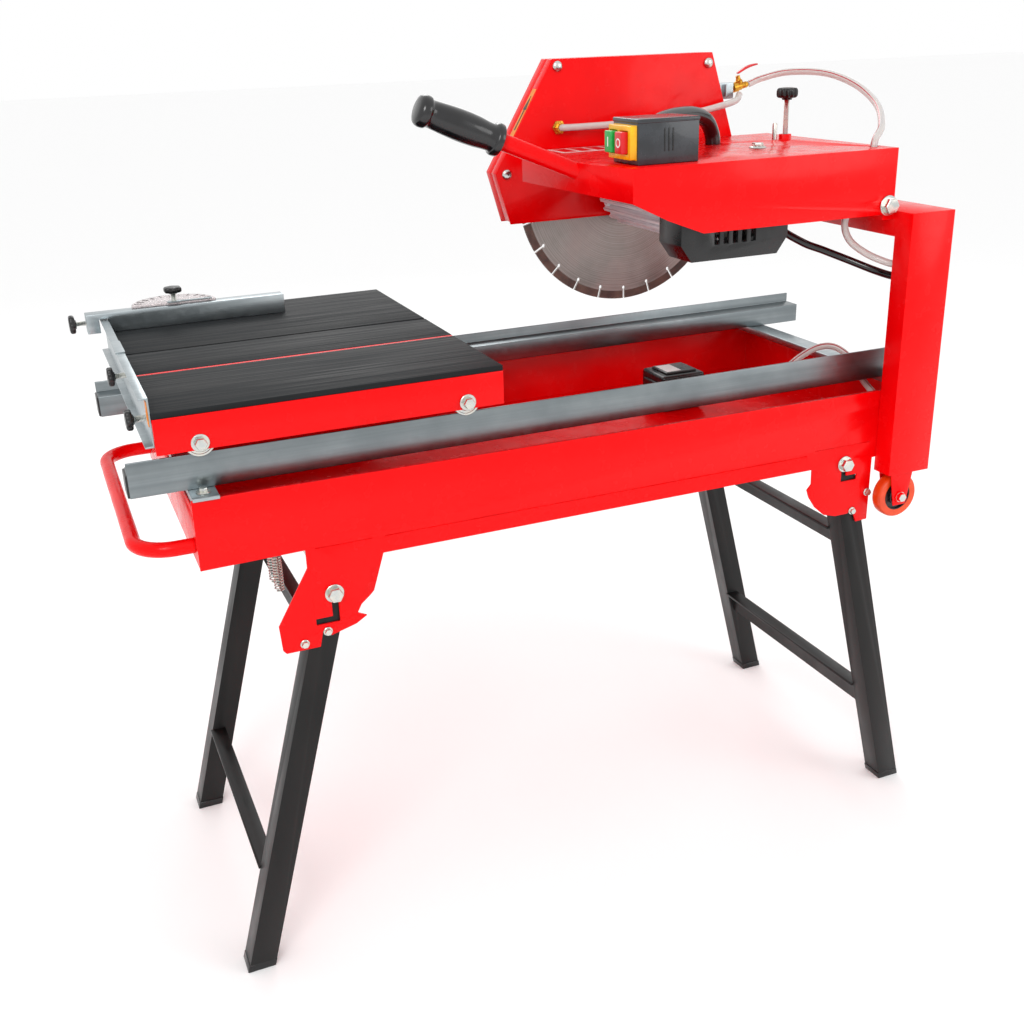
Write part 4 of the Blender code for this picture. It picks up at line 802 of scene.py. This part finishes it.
supply = tubing("supply_hose", 5, [
    (300.5, 98, 1114), (322, 92, 1122), (352, 66, 1130), (382, 14, 1128), (392, -48, 1112), (376, -118, 1088),
    (344, -170, 1064), (318, -192, 1050), (312, -196, 1036), (310, -196, 1010), (296, -190, 975), (286, -180, 940),
    (298, -178, 912), (322, -188, 892), (342, -208, 881), (350, -222, 879), (351, -234, 878.5)])
bridging(supply, HOSE, "supply_hose")
cable = tubing("power_cable", 5.5, [
    (169, -30, 1018), (200, -60, 975), (225, -100, 930), (255, -125, 906), (285, -136, 893), (315, -158, 879),
    (338, -186, 867), (349, -210, 862), (353, -222, 863), (353, -234, 863)])
bridging(cable, SOFT_BLACK, "power_cable")

# %% [markdown]
# The tap is turned brass with barbed ends that the hoses are pushed over. Its lever is dipped red,
# and a bent steel tab holds it to the guard's back edge.
# %% Tap
TAP_WAY = unit((36, 0, 6))
tap = [(0, 0), (3.6, 0), (5, 3.5), (4.1, 3.7), (5.2, 7.5), (4.4, 8), (6, 9.5), (7.5, 10), (7.5, 18),
       (6.2, 19.5), (6.2, 24),
       (4.6, 25), (5.2, 29), (4.2, 29.2), (5, 33), (3.8, 36.4), (0, 36.4)]
stem = [(0, 0), (6, 4), (6, 8), (4.4, 9), (3.4, 12), (3.4, 15.5), (0, 16)]
fitting = [(0, -1.5), (9, -1.5), (9, 3.5), (7, 4.2), (5.6, 4.4), (5.6, 7), (4.8, 7.4), (5.8, 11), (0, 11)]
brass_grids = [turned(tap, spot(262, 98, 1108), TAP_WAY, 36), turned(stem, spot(284, 98, 1112), (-4, 0, 14), 28),
               turned(fitting, spot(-33, 86, 1069), NEAR, 48, hexagonal)]
dress(made_of("valve_body_finished", brass_grids), BRASS, "valve_body", ("valve_body",))
tabs = [((238, 93, 1094), (270, 95.5, 1118)), ((252, 86.2, 1098), (254.5, 95, 1116))]
boxes("tap_bracket", ZINC, "valve_body", tabs, 0.6)
lever = [spot(279.8 + 34 * t, 98, 1130.5 + 12 * t + 5 * np.sin(np.pi * t) * 0.5) for t in np.linspace(0, 1, 14)]
lever_size = 0.55 + 0.45 * np.sin(np.pi * np.linspace(0.12, 0.9, 14))
dress(made_of("valve_lever_finished", [carried(ring(1, 16) * (5.0, 2.0), lever, lever_size, (0, 1, 0))]), RED_PLASTIC,
      "valve_lever", ("valve_lever",))

# %% [markdown]
# The lift springs are wound from 1.8 mm wire: a circle that climbs as it turns, tighter at its ends.
# They join the tray to the left legs and are fixed in place.
# %% Springs
def spring(node, x, y, low, high, radius=6.0, wire=0.9, turns=26):
    t = np.linspace(0, 1, turns * 14)
    turn = 2 * np.pi * turns * t
    reach = radius * np.clip(np.minimum(t, 1 - t) * 30, 0.15, 1)
    path = np.stack([x + reach * np.cos(turn), y + reach * np.sin(turn), low + (high - low) * t], -1) * MM + ZERO
    piece = made_of(node + "_finished", [carried(ring(wire, 8), path)])
    piece.data.materials.append(BOLT_ZINC)
    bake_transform(piece)
    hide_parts(node)


for node, y in (("leg_spring_near", -110), ("leg_spring_far", -78)):
    spring(node, -548, y, 512, 616.7)

# %% [markdown]
# The carry handle is a bent tube, welded on where it meets the tray.
# %% Carry handle
bend = np.linspace(0, np.pi / 2, 14)
corner = np.stack([-727 + 45 * (1 - np.sin(bend)), 205 - 45 * (1 - np.cos(bend)), np.full(14, 640.0)], -1)
half = np.vstack([[(-660.3, 205, 640)], corner])
loop = np.vstack([half, half[::-1] * (1, -1, 1)]) * MM + ZERO
dress(made_of("carry_handle_finished", [carried(ring(9.5, 28), loop, first_side=(0, 0, 1))]), RED, "carry_handle",
      ("carry_handle",))

# %% [markdown]
# The tray's long sides end in a lip folded inwards, which stiffens them and catches the light. The
# zinc cross bars are bent down over the tray's ends, and black caps close the hollow rails.
# %% Lips, tabs and caps
def lip(side):
    x = np.linspace(-618, 360, 12)[:, None]
    top = 705 - 7 * (x + 660) / 1064
    section = np.array([(-229.6, 0.2), (-214, -3.6), (-214, -5.4), (-229.6, -1.6)])
    y = np.broadcast_to(section[:, 0] * -side, (12, 4))
    return ZERO + np.stack([np.broadcast_to(x, (12, 4)), y, top + section[:, 1]], -1) * MM


dress(made_of("tray_lips", [lip(-1), lip(1)]), RED, "tray_pan")
tabs = [((-658, -232.2, 703.5), (-626, -230.4, 707.9)), ((-658, 230.4, 703.5), (-626, 232.2, 707.9)),
        ((-658, -232.6, 706.2), (-626, -226, 708)), ((-658, 226, 706.2), (-626, 232.6, 708)),
        ((366, 230.4, 686), (398, 232.6, 707.9)), ((366, 226, 706.2), (398, 232.6, 708))]
boxes("cross_bar_tabs", ZINC, "left_cross_bar", tabs, 0.6)
caps = [((-726.5, -197, 708.6), (-722, -164.6, 736.8)), ((-726.5, 164.6, 708.6), (-722, 197, 736.8)),
        ((460, -197, 708.6), (464.6, -164.6, 736.8)), ((460, 164.6, 708.6), (464.6, 197, 736.8))]
boxes("rail_caps", BLACK, "near_rail", caps, 1.4)
ribs = [((-687.5, -24.6, 801), (-251.5, -17.4, 808.6)), ((-687.5, 96.3, 801), (-251.5, 100.7, 802.8))]
boxes("table_ribs", RED, "table_frame", ribs, 0.6)
boxes("side_bar_step", ZINC, "side_bar", [((-700.4, 30, 826.8), (-687.6, 96, 830))], 0.7)
boxes("scale_sticker", LABEL_ORANGE, "side_bar", [((-691.2, -198, 792), (-690.1, -184, 822))], 0.3)

# %% [markdown]
# The pump is a small submersible: a rounded black body with a grille and a barbed outlet on its
# near side. A blank pale plate stands where its rating plate is.
# %% Pump
body = [((124, 40, 626), (202, 110, 680)), ((128, 44, 619.4), (198, 106, 628)), ((120, 52, 640), (125, 98, 668)),
        ((136, 50, 679), (192, 100, 683.5))]
body += [((x, 38.6, 660), (x + 2.4, 41, 674)) for x in range(132, 196, 6)]
grids = [moulded_box(low, high, min(5.0, (min(np.subtract(high, low)) / 2) * 0.95)) for low, high in body]
neck = [(0, -2), (9, -2), (9, 2), (6.5, 4), (5.2, 6), (6, 9), (5, 9.4), (5.4, 14), (0, 14)]
grids.append(turned(neck, spot(174, 40, 650), NEAR, 36))
dress(made_of("water_pump_finished", grids), BLACK, "water_pump", ("water_pump",))
boxes("pump_plate", LABEL, "water_pump", [((140, 55, 683.3), (166, 94, 684))], 0.3)

# %% [markdown]
# Labels stay blank: a pale film beside the switch with three coloured bars, and an orange strip on
# the guard's edge whose arrow shows which way the blade turns.
# %% Blank labels
boxes("plate_label", LABEL, "arm_plate", [((-60, 12, 1040), (52, 70, 1040.35))], 0.15)
bars = [((-54 + 26 * i, 18, 1040.2), (-34 + 26 * i, 64, 1040.5)) for i in range(4)]
boxes("plate_label_bars", RED_PLASTIC, "arm_plate", bars, 0.1)
EDGE_LOW, EDGE_HIGH = np.array([-134.0, 95, 1010]), np.array([-41.0, 95, 1163])
OUTWARD = unit((-(EDGE_HIGH - EDGE_LOW)[2], 0, (EDGE_HIGH - EDGE_LOW)[0]))


def strip(low, high, widths, proud):
    """A thin film on the guard's slanted edge, from one share of its length to another."""
    share = np.linspace(low, high, len(widths))[:, None]
    path = np.array([spot(*p) for p in EDGE_LOW + (EDGE_HIGH - EDGE_LOW) * share + OUTWARD * proud])
    half = np.asarray(widths, float) / 2
    across = np.array([(-1, 0.15), (1, 0.15), (1, -0.15), (-1, -0.15)])
    grid = path[:, None] + (across[None, :, :1] * half[:, None, None] * np.array([0, 1, 0])
                            + across[None, :, 1:] * OUTWARD) * MM
    return grid


dress(made_of("guard_strip", [strip(0.3, 0.74, [13, 13], 0.25)]), LABEL_ORANGE, "guard_shell")
arrow = [strip(0.38, 0.56, [3, 3], 0.6), strip(0.56, 0.68, [10, 0.3], 0.6)]
dress(made_of("guard_arrow", arrow), BLACK, "guard_shell")
